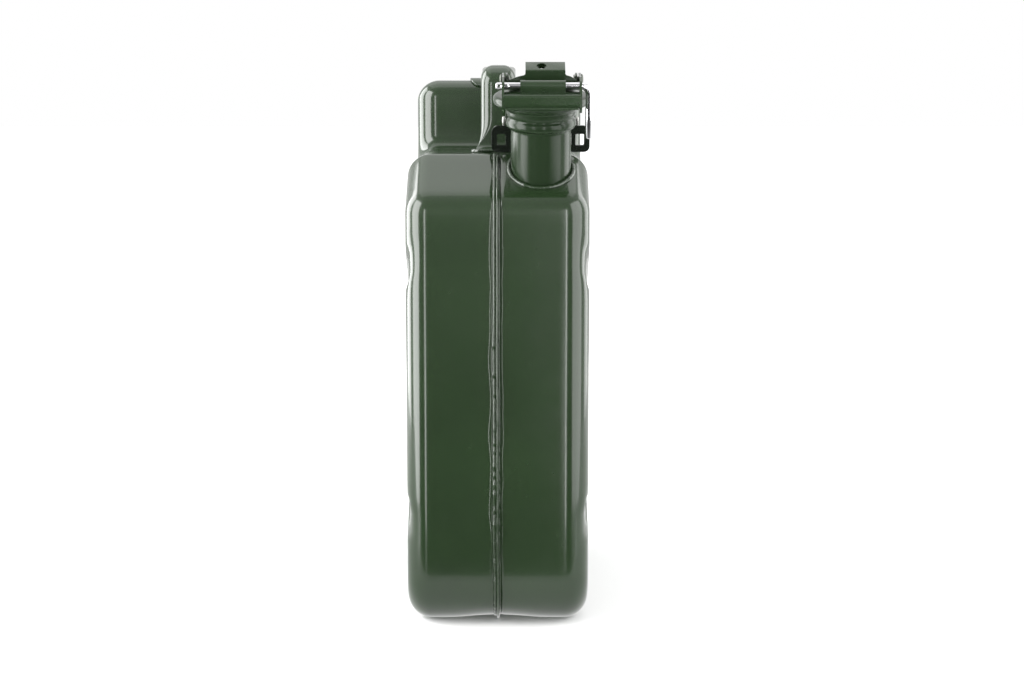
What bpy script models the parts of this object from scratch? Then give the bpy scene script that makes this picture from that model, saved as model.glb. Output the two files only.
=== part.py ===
"""Ten-litre pressed-steel fuel can with a hinged, lever-locked filler cap.

Frame: +Z up, the filler at the front (-Y), the seam in the plane X = 0, the origin on the floor
under the middle of the can. Lengths below are in millimetres, turned into metres when a mesh is
built.
"""
import math

import bmesh
import bpy
from mathutils import Euler, Matrix, Vector
from mathutils.bvhtree import BVHTree
from mathutils.geometry import delaunay_2d_cdt

MM = 0.001
GAP = 0.3                       # clearance left between neighbouring solids

# Tank
BODY_WIDTH = 127.0
BODY_LENGTH = 280.0
BODY_TOP = 328.0
FRONT_TOP = 298.0               # height where the front face turns into the sloping shoulder
SHOULDER_RUN = 46.0
HUMP_TOP = 381.0
HUMP_FRONT = 190.0              # distance of the air chamber's face behind the front face
FRONT_Y = -133.0                # the front face; the cap overhangs it
WALL = 1.0
ROLL = 17.0                     # radius between the rims' faces and the side faces
BASE_RADIUS = 34.0
SEAM_HALF_GAP = 1.3
VALLEY_DEPTH = 3.2
BELLY = 2.0                     # rise of the bottom between its two feet
RIB_DEPTH = 2.2
RIB_RISE = 96.0                 # the crossed grooves end this far above and below their crossing
RIB_CENTRE_Z = 164.0
FLANGE_HALF = 1.0

# Filler
NECK_X = 30.0
NECK_LEAN = math.radians(12.0)
NECK_FOOT_Y = 31.0              # where the neck's axis meets the shoulder, behind the front face
NECK_FOOT_Z = 318.0
NECK_RADIUS = 21.0
NECK_BORE = 19.8
NECK_BOTTOM = -16.0
SEAT_Z = 45.8
LID_RADIUS = 33.0
LID_RIM_Z = 46.5
LID_TOP_Z = 58.0
HINGE_Y, HINGE_Z = 31.0, 27.0   # lid hinge, in the neck's own frame
PIVOT_Y, PIVOT_Z = -2.0, 63.4   # lever pivot
PIN_Y, PIN_Z = -24.0, 63.0      # safety pin
PIN_RADIUS = 2.4
EAR_IN, EAR_OUT = 25.3, 26.8
LUG_IN, LUG_OUT = 22.9, 24.4

# Handle
STRAP_HALF = 12.7
STRAP = 1.5
LIP = 1.9                       # depth of the strap's turned edges at its flat feet
LEG_Y = 100.0                   # front of the handle's leg, behind the front face
HANDLE_TOP = 391.0


def smoothstep(low, high, value):
    t = min(1.0, max(0.0, (value - low) / (high - low)))
    return t * t * (3.0 - 2.0 * t)


def paint(name, colour, roughness, metallic=0.0):
    material = bpy.data.materials.new(name)
    material.use_nodes = True
    shader = material.node_tree.nodes["Principled BSDF"]
    shader.inputs["Base Color"].default_value = (*colour, 1.0)
    shader.inputs["Roughness"].default_value = roughness
    shader.inputs["Metallic"].default_value = metallic
    return material


def add_mesh(name, points, faces, material, place=(0.0, 0.0, 0.0), parent=None, smooth=35.0):
    """A mesh object from points in millimetres, with its faces turned outwards."""
    mesh = bpy.data.meshes.new(name)
    mesh.from_pydata([Vector(p) * MM for p in points], [], faces)
    skin = bmesh.new()
    skin.from_mesh(mesh)
    bmesh.ops.recalc_face_normals(skin, faces=skin.faces)
    skin.to_mesh(mesh)
    skin.free()
    mesh.materials.append(material)
    if smooth:
        mesh.shade_smooth()
        mesh.set_sharp_from_angle(angle=math.radians(smooth))
    thing = bpy.data.objects.new(name, mesh)
    thing.location = Vector(place) * MM
    thing.parent = parent
    bpy.context.scene.collection.objects.link(thing)
    return thing


def add_empty(name, place, tilt=0.0, parent=None):
    empty = bpy.data.objects.new(name, None)
    empty.location = Vector(place) * MM
    empty.rotation_euler = (tilt, 0.0, 0.0)
    empty.parent = parent
    bpy.context.scene.collection.objects.link(empty)
    return empty


def boolean(thing, cutter, operation="DIFFERENCE"):
    cutter.hide_render = True
    cutter.display_type = "WIRE"
    modifier = thing.modifiers.new(cutter.name, "BOOLEAN")
    modifier.operation = operation
    modifier.solver = "EXACT"
    modifier.object = cutter


def turned(profile, segments):
    """Points and faces of a closed (radius, height) profile turned about Z.

    The profile runs up the outside and down the inside; a point at radius 0 is a pole.
    """
    points, rings = [], []
    for radius, height in profile:
        if radius < 1e-6:
            rings.append([len(points)] * segments)
            points.append((0.0, 0.0, height))
            continue
        rings.append([len(points) + k for k in range(segments)])
        for k in range(segments):
            angle = 2.0 * math.pi * k / segments
            points.append((radius * math.cos(angle), radius * math.sin(angle), height))
    faces = []
    count = len(rings)
    for i in range(count):
        low, high = rings[i], rings[(i + 1) % count]
        for k in range(segments):
            n = (k + 1) % segments
            corners = []
            for index in (low[k], low[n], high[n], high[k]):
                if index not in corners:
                    corners.append(index)
            if len(corners) > 2:
                faces.append(corners)
    return points, faces


def prism(outline, low, high, axis):
    """A flat plate: an outline, counter-clockwise, carried from low to high along one axis.

    Axis "X" takes (y, z) outlines, "Y" takes (z, x) and "Z" takes (x, y).
    """
    order = {"X": (2, 0, 1), "Y": (1, 2, 0), "Z": (0, 1, 2)}[axis]
    points = []
    for level in (low, high):
        for a, b in outline:
            local = (a, b, level)
            points.append(tuple(local[i] for i in order))
    n = len(outline)
    faces = [list(range(n - 1, -1, -1)), list(range(n, 2 * n))]
    faces += [[k, (k + 1) % n, n + (k + 1) % n, n + k] for k in range(n)]
    return points, faces


def rounded(corners, inset=0.0):
    """Outline through corners (a, b, radius, steps, edge offset), each corner turned as an arc.

    The corners run counter-clockwise. Every edge moves inwards by inset plus its own offset,
    which is given with the corner that the edge starts from.
    """
    count = len(corners)
    lines = []
    for k in range(count):
        start, end = Vector(corners[k][:2]), Vector(corners[(k + 1) % count][:2])
        along = (end - start).normalized()
        inward = Vector((-along.y, along.x))
        lines.append((start + inward * (inset + corners[k][4]), along))
    outline = []
    for k in range(count):
        (p, d), (q, e) = lines[k - 1], lines[k]
        turn = d.x * e.y - d.y * e.x
        corner = p + d * (((q - p).x * e.y - (q - p).y * e.x) / turn)
        radius = corners[k][2]
        if radius <= 0.0:
            outline.append(tuple(corner))
            continue
        radius = max(min(1.0, radius), radius - inset) if turn > 0.0 else radius + inset
        sweep = math.atan2(turn, d.dot(e))
        setback = radius * math.tan(abs(sweep) / 2.0)
        side = 1.0 if turn > 0.0 else -1.0
        normal = Vector((-d.y, d.x)) * side
        centre = corner - d * setback + normal * radius
        steps = corners[k][3]
        for step in range(steps + 1):
            angle = sweep * step / steps
            c, s = math.cos(angle), math.sin(angle)
            arm = Vector((-normal.x * c + normal.y * s, -normal.x * s - normal.y * c))
            outline.append(tuple(centre + arm * radius))
    return outline


def box_outline(a0, a1, b0, b1, radius=0.0, steps=3):
    return rounded([(a0, b0, radius, steps, 0.0), (a1, b0, radius, steps, 0.0),
                    (a1, b1, radius, steps, 0.0), (a0, b1, radius, steps, 0.0)])


# ---------------------------------------------------------------- tank

def body_corners(front=0.0, slope=0.0, top=0.0, face=0.0, crown=0.0, rear=0.0, base=0.0,
                 base_radius=BASE_RADIUS):
    """Corners of the can's side outline; y counts back from the front face."""
    return [(0.0, 0.0, base_radius, 7, base),
            (BODY_LENGTH, 0.0, base_radius, 7, rear),
            (BODY_LENGTH, HUMP_TOP, 26.0, 6, crown),
            (HUMP_FRONT, HUMP_TOP, 14.0, 5, face),
            (HUMP_FRONT, BODY_TOP, 12.0, 4, top),
            (SHOULDER_RUN, BODY_TOP, 8.0, 2, slope),
            (0.0, FRONT_TOP, 12.0, 3, front)]


def body_ring(inset):
    """The body's outline with its long straight edges split, so that the grooves can dip it."""
    outline = rounded(body_corners(), inset)
    ring = []
    for k, point in enumerate(outline):
        ring.append(point)
        following = outline[(k + 1) % len(outline)]
        length = math.dist(point, following)
        pieces = 12 if length > 200.0 else 4 if length > 60.0 else 1
        for step in range(1, pieces):
            t = step / pieces
            ring.append((point[0] + (following[0] - point[0]) * t,
                         point[1] + (following[1] - point[1]) * t))
    return ring


def rib_dip(y, z):
    """Depth of the two crossed grooves pressed into a side face."""
    half = BODY_LENGTH / 2.0
    length = math.hypot(half, RIB_RISE)
    dip = 0.0
    for sign in (-1.0, 1.0):
        across = abs((y - half) * sign * RIB_RISE - (z - RIB_CENTRE_Z) * half) / length
        dip = max(dip, RIB_DEPTH * (1.0 - smoothstep(6.0, 13.0, across)))
    return dip


def belly_rise(x, z):
    """The bottom is arched between its feet."""
    return BELLY * (1.0 - smoothstep(5.0, 35.0, x)) * max(0.0, 1.0 - z / 14.0)


def shell_rings(depth):
    """(x, inset, groove share) of each ring of one half, for a skin `depth` under the outside."""
    rings = [(SEAM_HALF_GAP, VALLEY_DEPTH + depth, 0.0), (2.4, VALLEY_DEPTH - 0.4 + depth, 0.0),
             (3.6, 1.1 + depth, 0.0), (5.2, depth, 0.0), (20.0, depth, 0.0), (35.0, depth, 0.0)]
    steps = 5
    for step in range(steps + 1):
        t = 0.5 * math.pi * step / steps
        x = BODY_WIDTH / 2.0 - ROLL + (ROLL - depth) * math.sin(t)
        rings.append((x, ROLL - (ROLL - depth) * math.cos(t), math.sin(t) ** 3))
    return rings


def side_cells(edge):
    """Triangles that fill the side face inside its edge loop, with points on a 16 mm grid."""
    plane = [Vector(p) for p in edge]
    pitch = 16.0
    for row in range(1, 24):
        for column in range(1, 18):
            spot = Vector((column * pitch + (row % 2) * pitch / 2.0, row * pitch))
            crossings = 0
            nearest = pitch
            for k, a in enumerate(edge):
                b = edge[(k + 1) % len(edge)]
                along = Vector((b[0] - a[0], b[1] - a[1]))
                t = min(1.0, max(0.0, (spot - Vector(a)).dot(along) / along.length_squared))
                nearest = min(nearest, (spot - Vector(a) - along * t).length)
                if (a[1] > spot.y) != (b[1] > spot.y):
                    crossings += spot.x < a[0] + (spot.y - a[1]) * along.x / along.y
            if crossings % 2 and nearest > 7.0:
                plane.append(spot)
    loop = list(range(len(edge)))
    places, _, cells, _, _, _ = delaunay_2d_cdt(plane, [], [loop], 1, 1e-4)
    return places, cells


def add_half_shell(name, side, material):
    """One pressed half: outer skin, inner skin and the trimmed edge at the seam."""
    points, loops = [], []
    places = cells = None
    skins = []
    for depth in (0.0, WALL):
        loops = []
        for x, inset, share in shell_rings(depth):
            loop = []
            for y, z in body_ring(inset):
                loop.append(len(points))
                lifted = z + belly_rise(x, z)
                points.append((side * (x - share * rib_dip(y, z)), y + FRONT_Y, lifted))
            loops.append(loop)
        if places is None:
            places, cells = side_cells(body_ring(ROLL))
        inner = {index: loops[-1][index] for index in range(len(loops[-1]))}
        for index in range(len(loops[-1]), len(places)):
            y, z = places[index]
            inner[index] = len(points)
            x = BODY_WIDTH / 2.0 - depth - rib_dip(y, z)
            points.append((side * x, y + FRONT_Y, z))
        skins.append((loops, inner))
    faces = []
    count = len(skins[0][0][0])
    for number, (loops, inner) in enumerate(skins):
        outward = (number == 0) == (side > 0)
        patch = []
        for low, high in zip(loops, loops[1:]):
            for k in range(count):
                n = (k + 1) % count
                patch.append([low[k], low[n], high[n], high[k]])
        patch += [[inner[index] for index in cell] for cell in cells]
        faces += patch if outward else [face[::-1] for face in patch]
    outer, inside = skins[0][0][0], skins[1][0][0]
    for k in range(count):
        n = (k + 1) % count
        quad = [outer[k], inside[k], inside[n], outer[n]]
        faces.append(quad if side > 0 else quad[::-1])
    return add_mesh(name, points, faces, material, smooth=30.0)


def add_seam_flange(material):
    """The rim of the two halves, rolled flat and welded, standing in the seam's valley."""
    outer = rounded(body_corners(front=-2.0, slope=-1.5, top=-0.1, face=-0.5, crown=-0.1,
                                 rear=-2.0, base=0.4, base_radius=30.0))
    inner = rounded(body_corners(front=7.0, slope=7.0, top=7.0, face=7.0, crown=7.0,
                                 rear=7.0, base=7.0, base_radius=28.0))
    points, loops = [], []
    for outline, x in ((outer, -FLANGE_HALF), (outer, FLANGE_HALF), (inner, FLANGE_HALF),
                       (inner, -FLANGE_HALF)):
        loops.append(list(range(len(points), len(points) + len(outline))))
        points += [(x, y + FRONT_Y, z) for y, z in outline]
    faces = []
    count = len(outer)
    for i in range(4):
        low, high = loops[i], loops[(i + 1) % 4]
        faces += [[low[k], low[(k + 1) % count], high[(k + 1) % count], high[k]]
                  for k in range(count)]
    return add_mesh("seam_flange", points, faces, material, smooth=30.0)


# ---------------------------------------------------------------- filler

def add_neck(frame, material):
    profile = [(NECK_RADIUS, NECK_BOTTOM), (NECK_RADIUS, 30.5), (22.4, 31.1), (24.0, 33.0),
               (24.4, 35.2), (23.7, 37.4), (22.7, 38.6), (23.7, 39.6), (24.5, 41.0), (24.9, 42.4),
               (26.7, 43.8), (27.0, 44.8), (26.3, SEAT_Z), (21.8, SEAT_Z), (20.4, 44.8),
               (NECK_BORE, 42.5), (NECK_BORE, NECK_BOTTOM)]
    return add_mesh("neck", *turned(profile, 48), material, parent=frame, smooth=40.0)


def neck_hole(frame):
    radius = NECK_RADIUS + GAP
    profile = [(0.0, -40.0), (radius, -40.0), (radius, 60.0), (0.0, 60.0)]
    return add_mesh("neck_hole", *turned(profile, 48), bpy.data.materials["can_paint"],
                    parent=frame)


def bead(name, centres, radius, sides, material, closed, parent=None):
    """A weld bead: a round bar along a list of centres."""
    curve = bpy.data.curves.new(name, "CURVE")
    curve.dimensions = "3D"
    spline = curve.splines.new("POLY")
    spline.points.add(len(centres) - 1)
    for point, centre in zip(spline.points, centres):
        point.co = (*(Vector(centre) * MM), 1.0)
    spline.use_cyclic_u = closed
    curve.bevel_depth = radius * MM
    curve.bevel_resolution = sides
    curve.use_fill_caps = True
    curve.materials.append(material)
    thing = bpy.data.objects.new(name, curve)
    thing.parent = parent
    bpy.context.scene.collection.objects.link(thing)
    return thing


def add_neck_weld(frame, shell, material):
    """A bead round the foot of the neck, following the shoulder that it stands on."""
    bead_radius = 1.5
    reach = NECK_RADIUS + GAP + bead_radius
    to_world = Matrix.Translation(frame.location) @ Euler(frame.rotation_euler).to_matrix().to_4x4()
    surface = BVHTree.FromPolygons([v.co for v in shell.data.vertices],
                                   [list(f.vertices) for f in shell.data.polygons])
    centres = []
    count = 40
    for k in range(count):
        angle = 2.0 * math.pi * k / count
        height = 30.0
        spot = Vector((reach * math.cos(angle), reach * math.sin(angle), height))
        while surface.find_nearest(to_world @ (spot * MM))[3] > (bead_radius + GAP) * MM:
            height -= 0.1
            spot.z = height
        centres.append(tuple(spot))
    return bead("neck_weld", centres, bead_radius, 2, material, True, frame)


def add_breather(frame, tube_material, clip_material):
    """The vent pipe from the mouth of the neck back into the air chamber, and its clip."""
    bend = 12.0
    inside_y = 14.8
    low, mouth = -25.0, 36.0
    back = Euler((-NECK_LEAN, 0.0, 0.0)).to_matrix()
    level = Vector((0.0, 1.0, 0.0))
    level.rotate(back)
    centres = [(0.0, inside_y, mouth), (0.0, inside_y, low + bend)]
    for step in range(1, 7):
        angle = math.pi / 2.0 * step / 6.0
        centres.append((0.0, inside_y + bend * (1.0 - math.cos(angle)),
                        low + bend - bend * math.sin(angle)))
    start = Vector(centres[-1])
    run = HUMP_FRONT + 22.0 - NECK_FOOT_Y - start.y
    for t in (0.35, 0.7, 0.92):
        centres.append(tuple(start + level * run * t))
    corner = start + level * run
    up = Vector((0.0, 0.0, 1.0))
    up.rotate(back)
    for rise in (8.0, 30.0, 52.0):
        centres.append(tuple(corner + up * rise))
    bead("breather_tube", centres, 3.0, 2, tube_material, False, frame)
    ring = [(3.4, 6.0), (4.6, 6.0), (4.6, 12.0), (3.4, 12.0)]
    add_mesh("breather_clip", *turned(ring, 16), clip_material, (0.0, inside_y, 0.0), frame)


def add_bracket(frame, material, weld_material):
    """The folded plate behind the neck: a broad back with two windows, and two hinge wings."""
    low, high, half = 6.6, 25.5, 34.5
    back = rounded([(low, -half, 4.0, 3, 0.0), (high, -half, 5.0, 3, 0.0),
                    (high, half, 5.0, 3, 0.0), (low, half, 4.0, 3, 0.0),
                    (low, 15.0, 0.0, 0, 0.0), (11.0, 15.0, 2.0, 2, 0.0),
                    (11.0, -15.0, 2.0, 2, 0.0), (low, -15.0, 0.0, 0, 0.0)])
    bracket = add_mesh("neck_bracket", *prism(back, 22.6, 24.2, "Y"), material, parent=frame,
                       smooth=30.0)
    wing = rounded([(23.0, 12.0, 0.0, 0, 0.0), (34.0, 12.0, 3.0, 2, 0.0),
                    (36.5, 24.0, 3.0, 2, 0.0), (36.0, 32.5, 4.5, 4, 0.0),
                    (26.0, 32.5, 4.5, 4, 0.0), (23.0, 22.0, 0.0, 0, 0.0)])
    for side, word in ((-1.0, "left"), (1.0, "right")):
        inner, outer = sorted((side * 19.5, side * 21.0))
        wing_piece = add_mesh("wing_" + word, *prism(wing, inner, outer, "X"), material,
                              parent=frame)
        boolean(bracket, wing_piece, "UNION")
        window_edge = sorted((side * 24.5, side * 30.5))
        window = box_outline(11.5, 19.5, *window_edge, 0.8, 2)
        boolean(bracket, add_mesh("window_" + word, *prism(window, 20.0, 27.0, "Y"), material,
                                  parent=frame))
        centres = [(side * 9.6, 20.9, height) for height in (12.5, 16.0, 20.0, 24.0)]
        bead("bracket_weld_" + word, centres, 1.3, 2, weld_material, False, frame)
    bore = turned([(0.0, -30.0), (2.3, -30.0), (2.3, 30.0), (0.0, 30.0)], 20)
    hole = add_mesh("hinge_hole", *bore, material, (0.0, HINGE_Y, HINGE_Z), frame)
    hole.rotation_euler = (0.0, math.pi / 2.0, 0.0)
    boolean(bracket, hole)


def across(profile, segments):
    """A turned piece laid along X."""
    points, faces = turned(profile, segments)
    return [(z, y, -x) for x, y, z in points], faces


def add_hinge_pin(frame, material):
    profile = [(0.0, -27.0), (2.6, -26.9), (3.3, -26.2), (3.3, -25.2), (2.0, -25.1),
               (2.0, 25.1), (3.3, 25.2), (3.3, 26.2), (2.6, 26.9), (0.0, 27.0)]
    add_mesh("hinge_pin", *across(profile, 20), material, (0.0, HINGE_Y, HINGE_Z), frame)


def add_lid(frame, material):
    """The pressed cap with its domed crown, rolled rim and two hinge arms."""
    hinge = (0.0, HINGE_Y, HINGE_Z)
    profile = [(0.0, LID_TOP_Z), (12.0, 57.8), (19.0, 57.0), (23.5, 55.4), (26.0, 53.4),
               (28.0, 52.6), (30.8, 52.6), (32.4, 51.9), (LID_RADIUS, 50.4),
               (LID_RADIUS, LID_RIM_Z), (31.7, LID_RIM_Z), (31.7, 50.2), (30.9, 51.0),
               (27.0, 51.1), (24.5, 52.4), (22.5, 54.0), (18.5, 55.5), (12.0, 56.3), (0.0, 56.5)]
    points, faces = turned(profile[::-1], 56)
    points = [(x, y - HINGE_Y, z - HINGE_Z) for x, y, z in points]
    lid = add_mesh("lid", points, faces, material, hinge, frame, smooth=35.0)
    arm = rounded([(20.9, 47.2, 0.0, 0, 0.0), (26.6, 40.0, 6.0, 3, 0.0),
                   (26.0, 22.2, 4.6, 6, 0.0), (36.0, 22.2, 4.6, 6, 0.0),
                   (35.2, 44.0, 4.0, 3, 0.0), (31.5, 50.6, 3.0, 3, 0.0),
                   (20.9, 50.9, 0.0, 0, 0.0)])
    arm = [(y - HINGE_Y, z - HINGE_Z) for y, z in arm]
    bore = across([(0.0, -30.0), (2.3, -30.0), (2.3, 30.0), (0.0, 30.0)], 20)
    for side, word in ((-1.0, "left"), (1.0, "right")):
        inner, outer = sorted((side * LUG_IN, side * LUG_OUT))
        boolean(lid, add_mesh("lid_arm_" + word, *prism(arm, inner, outer, "X"), material,
                              hinge, frame), "UNION")
    boolean(lid, add_mesh("lid_bore", *bore, material, hinge, frame))


def add_seal(frame, rubber, steel):
    """Gasket ring, the dished washer that holds it in the cap, and the washer's rivet."""
    ring = [(18.6, 46.2), (29.6, 46.2), (30.3, 46.9), (30.3, 49.6), (29.6, 50.3), (18.6, 50.3)]
    add_mesh("gasket", *turned(ring, 48), rubber, parent=frame)
    dish = [(0.0, 50.4), (15.6, 50.4), (18.2, 47.4), (18.2, 45.9), (19.2, 45.9), (19.2, 44.8),
            (17.2, 44.8), (14.6, 49.2), (0.0, 49.2)]
    points, faces = turned(dish[::-1], 40)
    washer = add_mesh("gasket_retainer", points, faces, steel, parent=frame)
    hole = turned([(0.0, 40.0), (2.8, 40.0), (2.8, 60.0), (0.0, 60.0)], 20)
    boolean(washer, add_mesh("rivet_hole", *hole, steel, parent=frame))
    rivet = [(0.0, 47.2), (3.2, 47.4), (4.4, 48.2), (4.4, 48.8), (2.5, 48.9), (2.5, 56.0),
             (0.0, 56.1)]
    add_mesh("retainer_rivet", *turned(rivet, 20), steel, parent=frame)


def add_yoke(frame, material):
    """The strap spot-welded over the crown, with two upright lugs for the lever's rivets."""
    base, top = LID_TOP_Z + GAP, PIVOT_Z + 3.8
    strap = box_outline(-LUG_OUT, LUG_OUT, -8.0, 5.0)
    yoke = add_mesh("lid_yoke", *prism(strap, base, base + 1.5, "Z"), material, parent=frame,
                    smooth=30.0)
    lug = rounded([(-8.0, base, 0.0, 0, 0.0), (5.0, base, 0.0, 0, 0.0), (3.2, top, 4.0, 5, 0.0),
                   (-7.2, top, 4.0, 5, 0.0)])
    for side, word in ((-1.0, "left"), (1.0, "right")):
        inner, outer = sorted((side * LUG_IN, side * LUG_OUT))
        boolean(yoke, add_mesh("yoke_lug_" + word, *prism(lug, inner, outer, "X"), material,
                               parent=frame), "UNION")
    bore = across([(0.0, -30.0), (2.0, -30.0), (2.0, 30.0), (0.0, 30.0)], 20)
    boolean(yoke, add_mesh("yoke_bore", *bore, material, (0.0, PIVOT_Y, PIVOT_Z), frame))


def add_lever(frame, material):
    """The locking lever: two ears, the front channel, the pin's knuckle and the thumb tab."""
    pivot = (0.0, PIVOT_Y, PIVOT_Z)

    def local(outline):
        return [(y - PIVOT_Y, z - PIVOT_Z) for y, z in outline]

    channel = rounded([(-35.6, 50.0, 1.0, 2, 0.0), (-33.6, 50.0, 0.5, 1, 0.0),
                       (-33.9, 57.3, 0.6, 1, 0.0), (-26.2, 58.0, 0.4, 1, 0.0),
                       (-26.2, 59.4, 0.4, 1, 0.0), (-35.4, 59.0, 2.0, 2, 0.0)])
    lever = add_mesh("lever", *prism(local(channel), -EAR_IN - 0.5, EAR_IN + 0.5, "X"), material,
                     pivot, frame, smooth=30.0)
    ear = rounded([(-36.4, 48.6, 3.0, 3, 0.0), (-30.0, 45.6, 3.5, 3, 0.0),
                   (-23.6, 48.0, 3.0, 3, 0.0), (-19.0, 57.0, 6.0, 3, 0.0),
                   (-4.0, 58.6, 2.0, 2, 0.0), (2.4, 59.6, 3.5, 4, 0.0),
                   (2.2, 67.4, 3.5, 4, 0.0), (-10.0, 67.4, 2.0, 2, 0.0),
                   (-20.0, 68.4, 3.0, 3, 0.0), (-29.6, 67.2, 4.0, 4, 0.0),
                   (-34.6, 58.0, 3.0, 2, 0.0)])
    for side, word in ((-1.0, "left"), (1.0, "right")):
        inner, outer = sorted((side * EAR_IN, side * EAR_OUT))
        boolean(lever, add_mesh("ear_" + word, *prism(local(ear), inner, outer, "X"), material,
                                pivot, frame), "UNION")

    knuckle = rounded([(-28.3, 58.4, 0.0, 0, 0.0), (-19.8, 58.4, 0.0, 0, 0.0),
                       (-19.8, 67.3, 3.8, 5, 0.0), (-28.3, 67.3, 3.8, 5, 0.0)])
    boolean(lever, add_mesh("knuckle", *prism(local(knuckle), -14.5, 16.5, "X"), material, pivot,
                            frame), "UNION")

    bridge = rounded([(58.6, -EAR_IN - 0.4, 0.0, 0, 0.0), (64.2, -EAR_IN - 0.4, 5.0, 3, 0.0),
                      (67.6, -15.5, 7.0, 4, 0.0), (68.6, -11.0, 1.5, 2, 0.0),
                      (71.4, -11.0, 0.0, 0, 0.0), (71.4, 16.0, 0.0, 0, 0.0),
                      (68.6, 16.0, 1.5, 2, 0.0), (67.6, 19.5, 4.0, 4, 0.0),
                      (64.2, EAR_IN + 0.4, 5.0, 3, 0.0), (58.6, EAR_IN + 0.4, 0.0, 0, 0.0)])
    bridge = [(z - PIVOT_Z, x) for z, x in bridge]
    boolean(lever, add_mesh("bridge", *prism(bridge, -15.2 - PIVOT_Y, -13.7 - PIVOT_Y, "Y"),
                            material, pivot, frame), "UNION")
    lip = rounded([(-15.2, 70.3, 0.0, 0, 0.0), (-13.9, 69.8, 0.0, 0, 0.0), (-5.0, 74.6, 0.4, 2, 0.0),
                   (-5.6, 75.9, 0.4, 2, 0.0), (-15.2, 72.0, 1.0, 2, 0.0)])
    boolean(lever, add_mesh("lip", *prism(local(lip), -10.2, 15.2, "X"), material, pivot, frame),
            "UNION")
    eye = turned([(0.0, -8.0), (3.3, -8.0), (3.3, 8.0), (0.0, 8.0)], 20)
    eye_cut = add_mesh("tab_hole", *eye, material, (0.0, -10.0, 73.0), frame)
    eye_cut.rotation_euler = (math.radians(25.0), 0.0, 0.0)
    boolean(lever, eye_cut)
    for name, y, z, radius in (("pin_bore", PIN_Y, PIN_Z, PIN_RADIUS + GAP),
                               ("pivot_bore", PIVOT_Y, PIVOT_Z, 2.0)):
        bore = across([(0.0, -40.0), (radius, -40.0), (radius, 40.0), (0.0, 40.0)], 20)
        boolean(lever, add_mesh(name, *bore, material, (0.0, y, z), frame))


def add_lever_rivets(frame, material):
    profile = [(0.0, 21.6), (2.4, 21.7), (3.0, 22.1), (3.0, 22.6), (1.7, 22.6), (1.7, 27.1),
               (3.4, 27.1), (3.4, 27.7), (2.4, 28.4), (0.0, 28.6)]
    for side, word in ((-1.0, "left"), (1.0, "right")):
        points, faces = across(profile, 20)
        points = [(side * x, y, z) for x, y, z in points]
        if side < 0.0:
            faces = [face[::-1] for face in faces]
        add_mesh("lever_rivet_" + word, points, faces, material, (0.0, PIVOT_Y, PIVOT_Z), frame)


def add_safety_pin(frame, material):
    """A bent rod through the ears and the knuckle, its leg hanging outside the right ear."""
    bend, leg_x, leg_end = 6.0, 31.8, -36.0
    centres = [(-31.0, 0.0, 0.0), (0.0, 0.0, 0.0), (leg_x - bend, 0.0, 0.0)]
    for step in range(1, 7):
        angle = math.pi / 2.0 * step / 6.0
        centres.append((leg_x - bend + bend * math.sin(angle), 0.0,
                        bend * (math.cos(angle) - 1.0)))
    centres += [(leg_x, 0.0, -20.0), (leg_x, 0.0, leg_end)]
    pin = bead("safety_pin", centres, PIN_RADIUS, 3, material, False, frame)
    pin.location = Vector((0.0, PIN_Y, PIN_Z)) * MM


# ---------------------------------------------------------------- handle

def handle_path():
    """(y, z) of the strap's outer face from its front foot over the grip to its rear end."""
    leg_z = BODY_TOP + 0.6 + LIP
    inner, outer = 6.0, 15.0
    path = [(LEG_Y - 17.0, leg_z), (LEG_Y - 11.0, leg_z)]
    for step in range(5):
        angle = math.pi / 2.0 * step / 4.0
        path.append((LEG_Y - inner + inner * math.sin(angle),
                     leg_z + inner * (1.0 - math.cos(angle))))
    for step in range(8):
        angle = math.pi / 2.0 * step / 7.0
        path.append((LEG_Y + outer * (1.0 - math.cos(angle)),
                     HANDLE_TOP - outer * (1.0 - math.sin(angle))))
    rear = HUMP_TOP + 2.1 + GAP + LIP
    drop = HANDLE_TOP - rear
    path += [(HUMP_FRONT - 60.0, HANDLE_TOP), (HUMP_FRONT - 35.0, HANDLE_TOP)]
    for step in range(1, 8):
        t = step / 8.0
        path.append((HUMP_FRONT - 12.0 + 30.0 * t, HANDLE_TOP - drop * smoothstep(0.0, 1.0, t)))
    path += [(HUMP_FRONT + 20.0, rear), (HUMP_FRONT + 34.0, rear), (HUMP_FRONT + 46.0, rear)]
    return path


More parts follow.
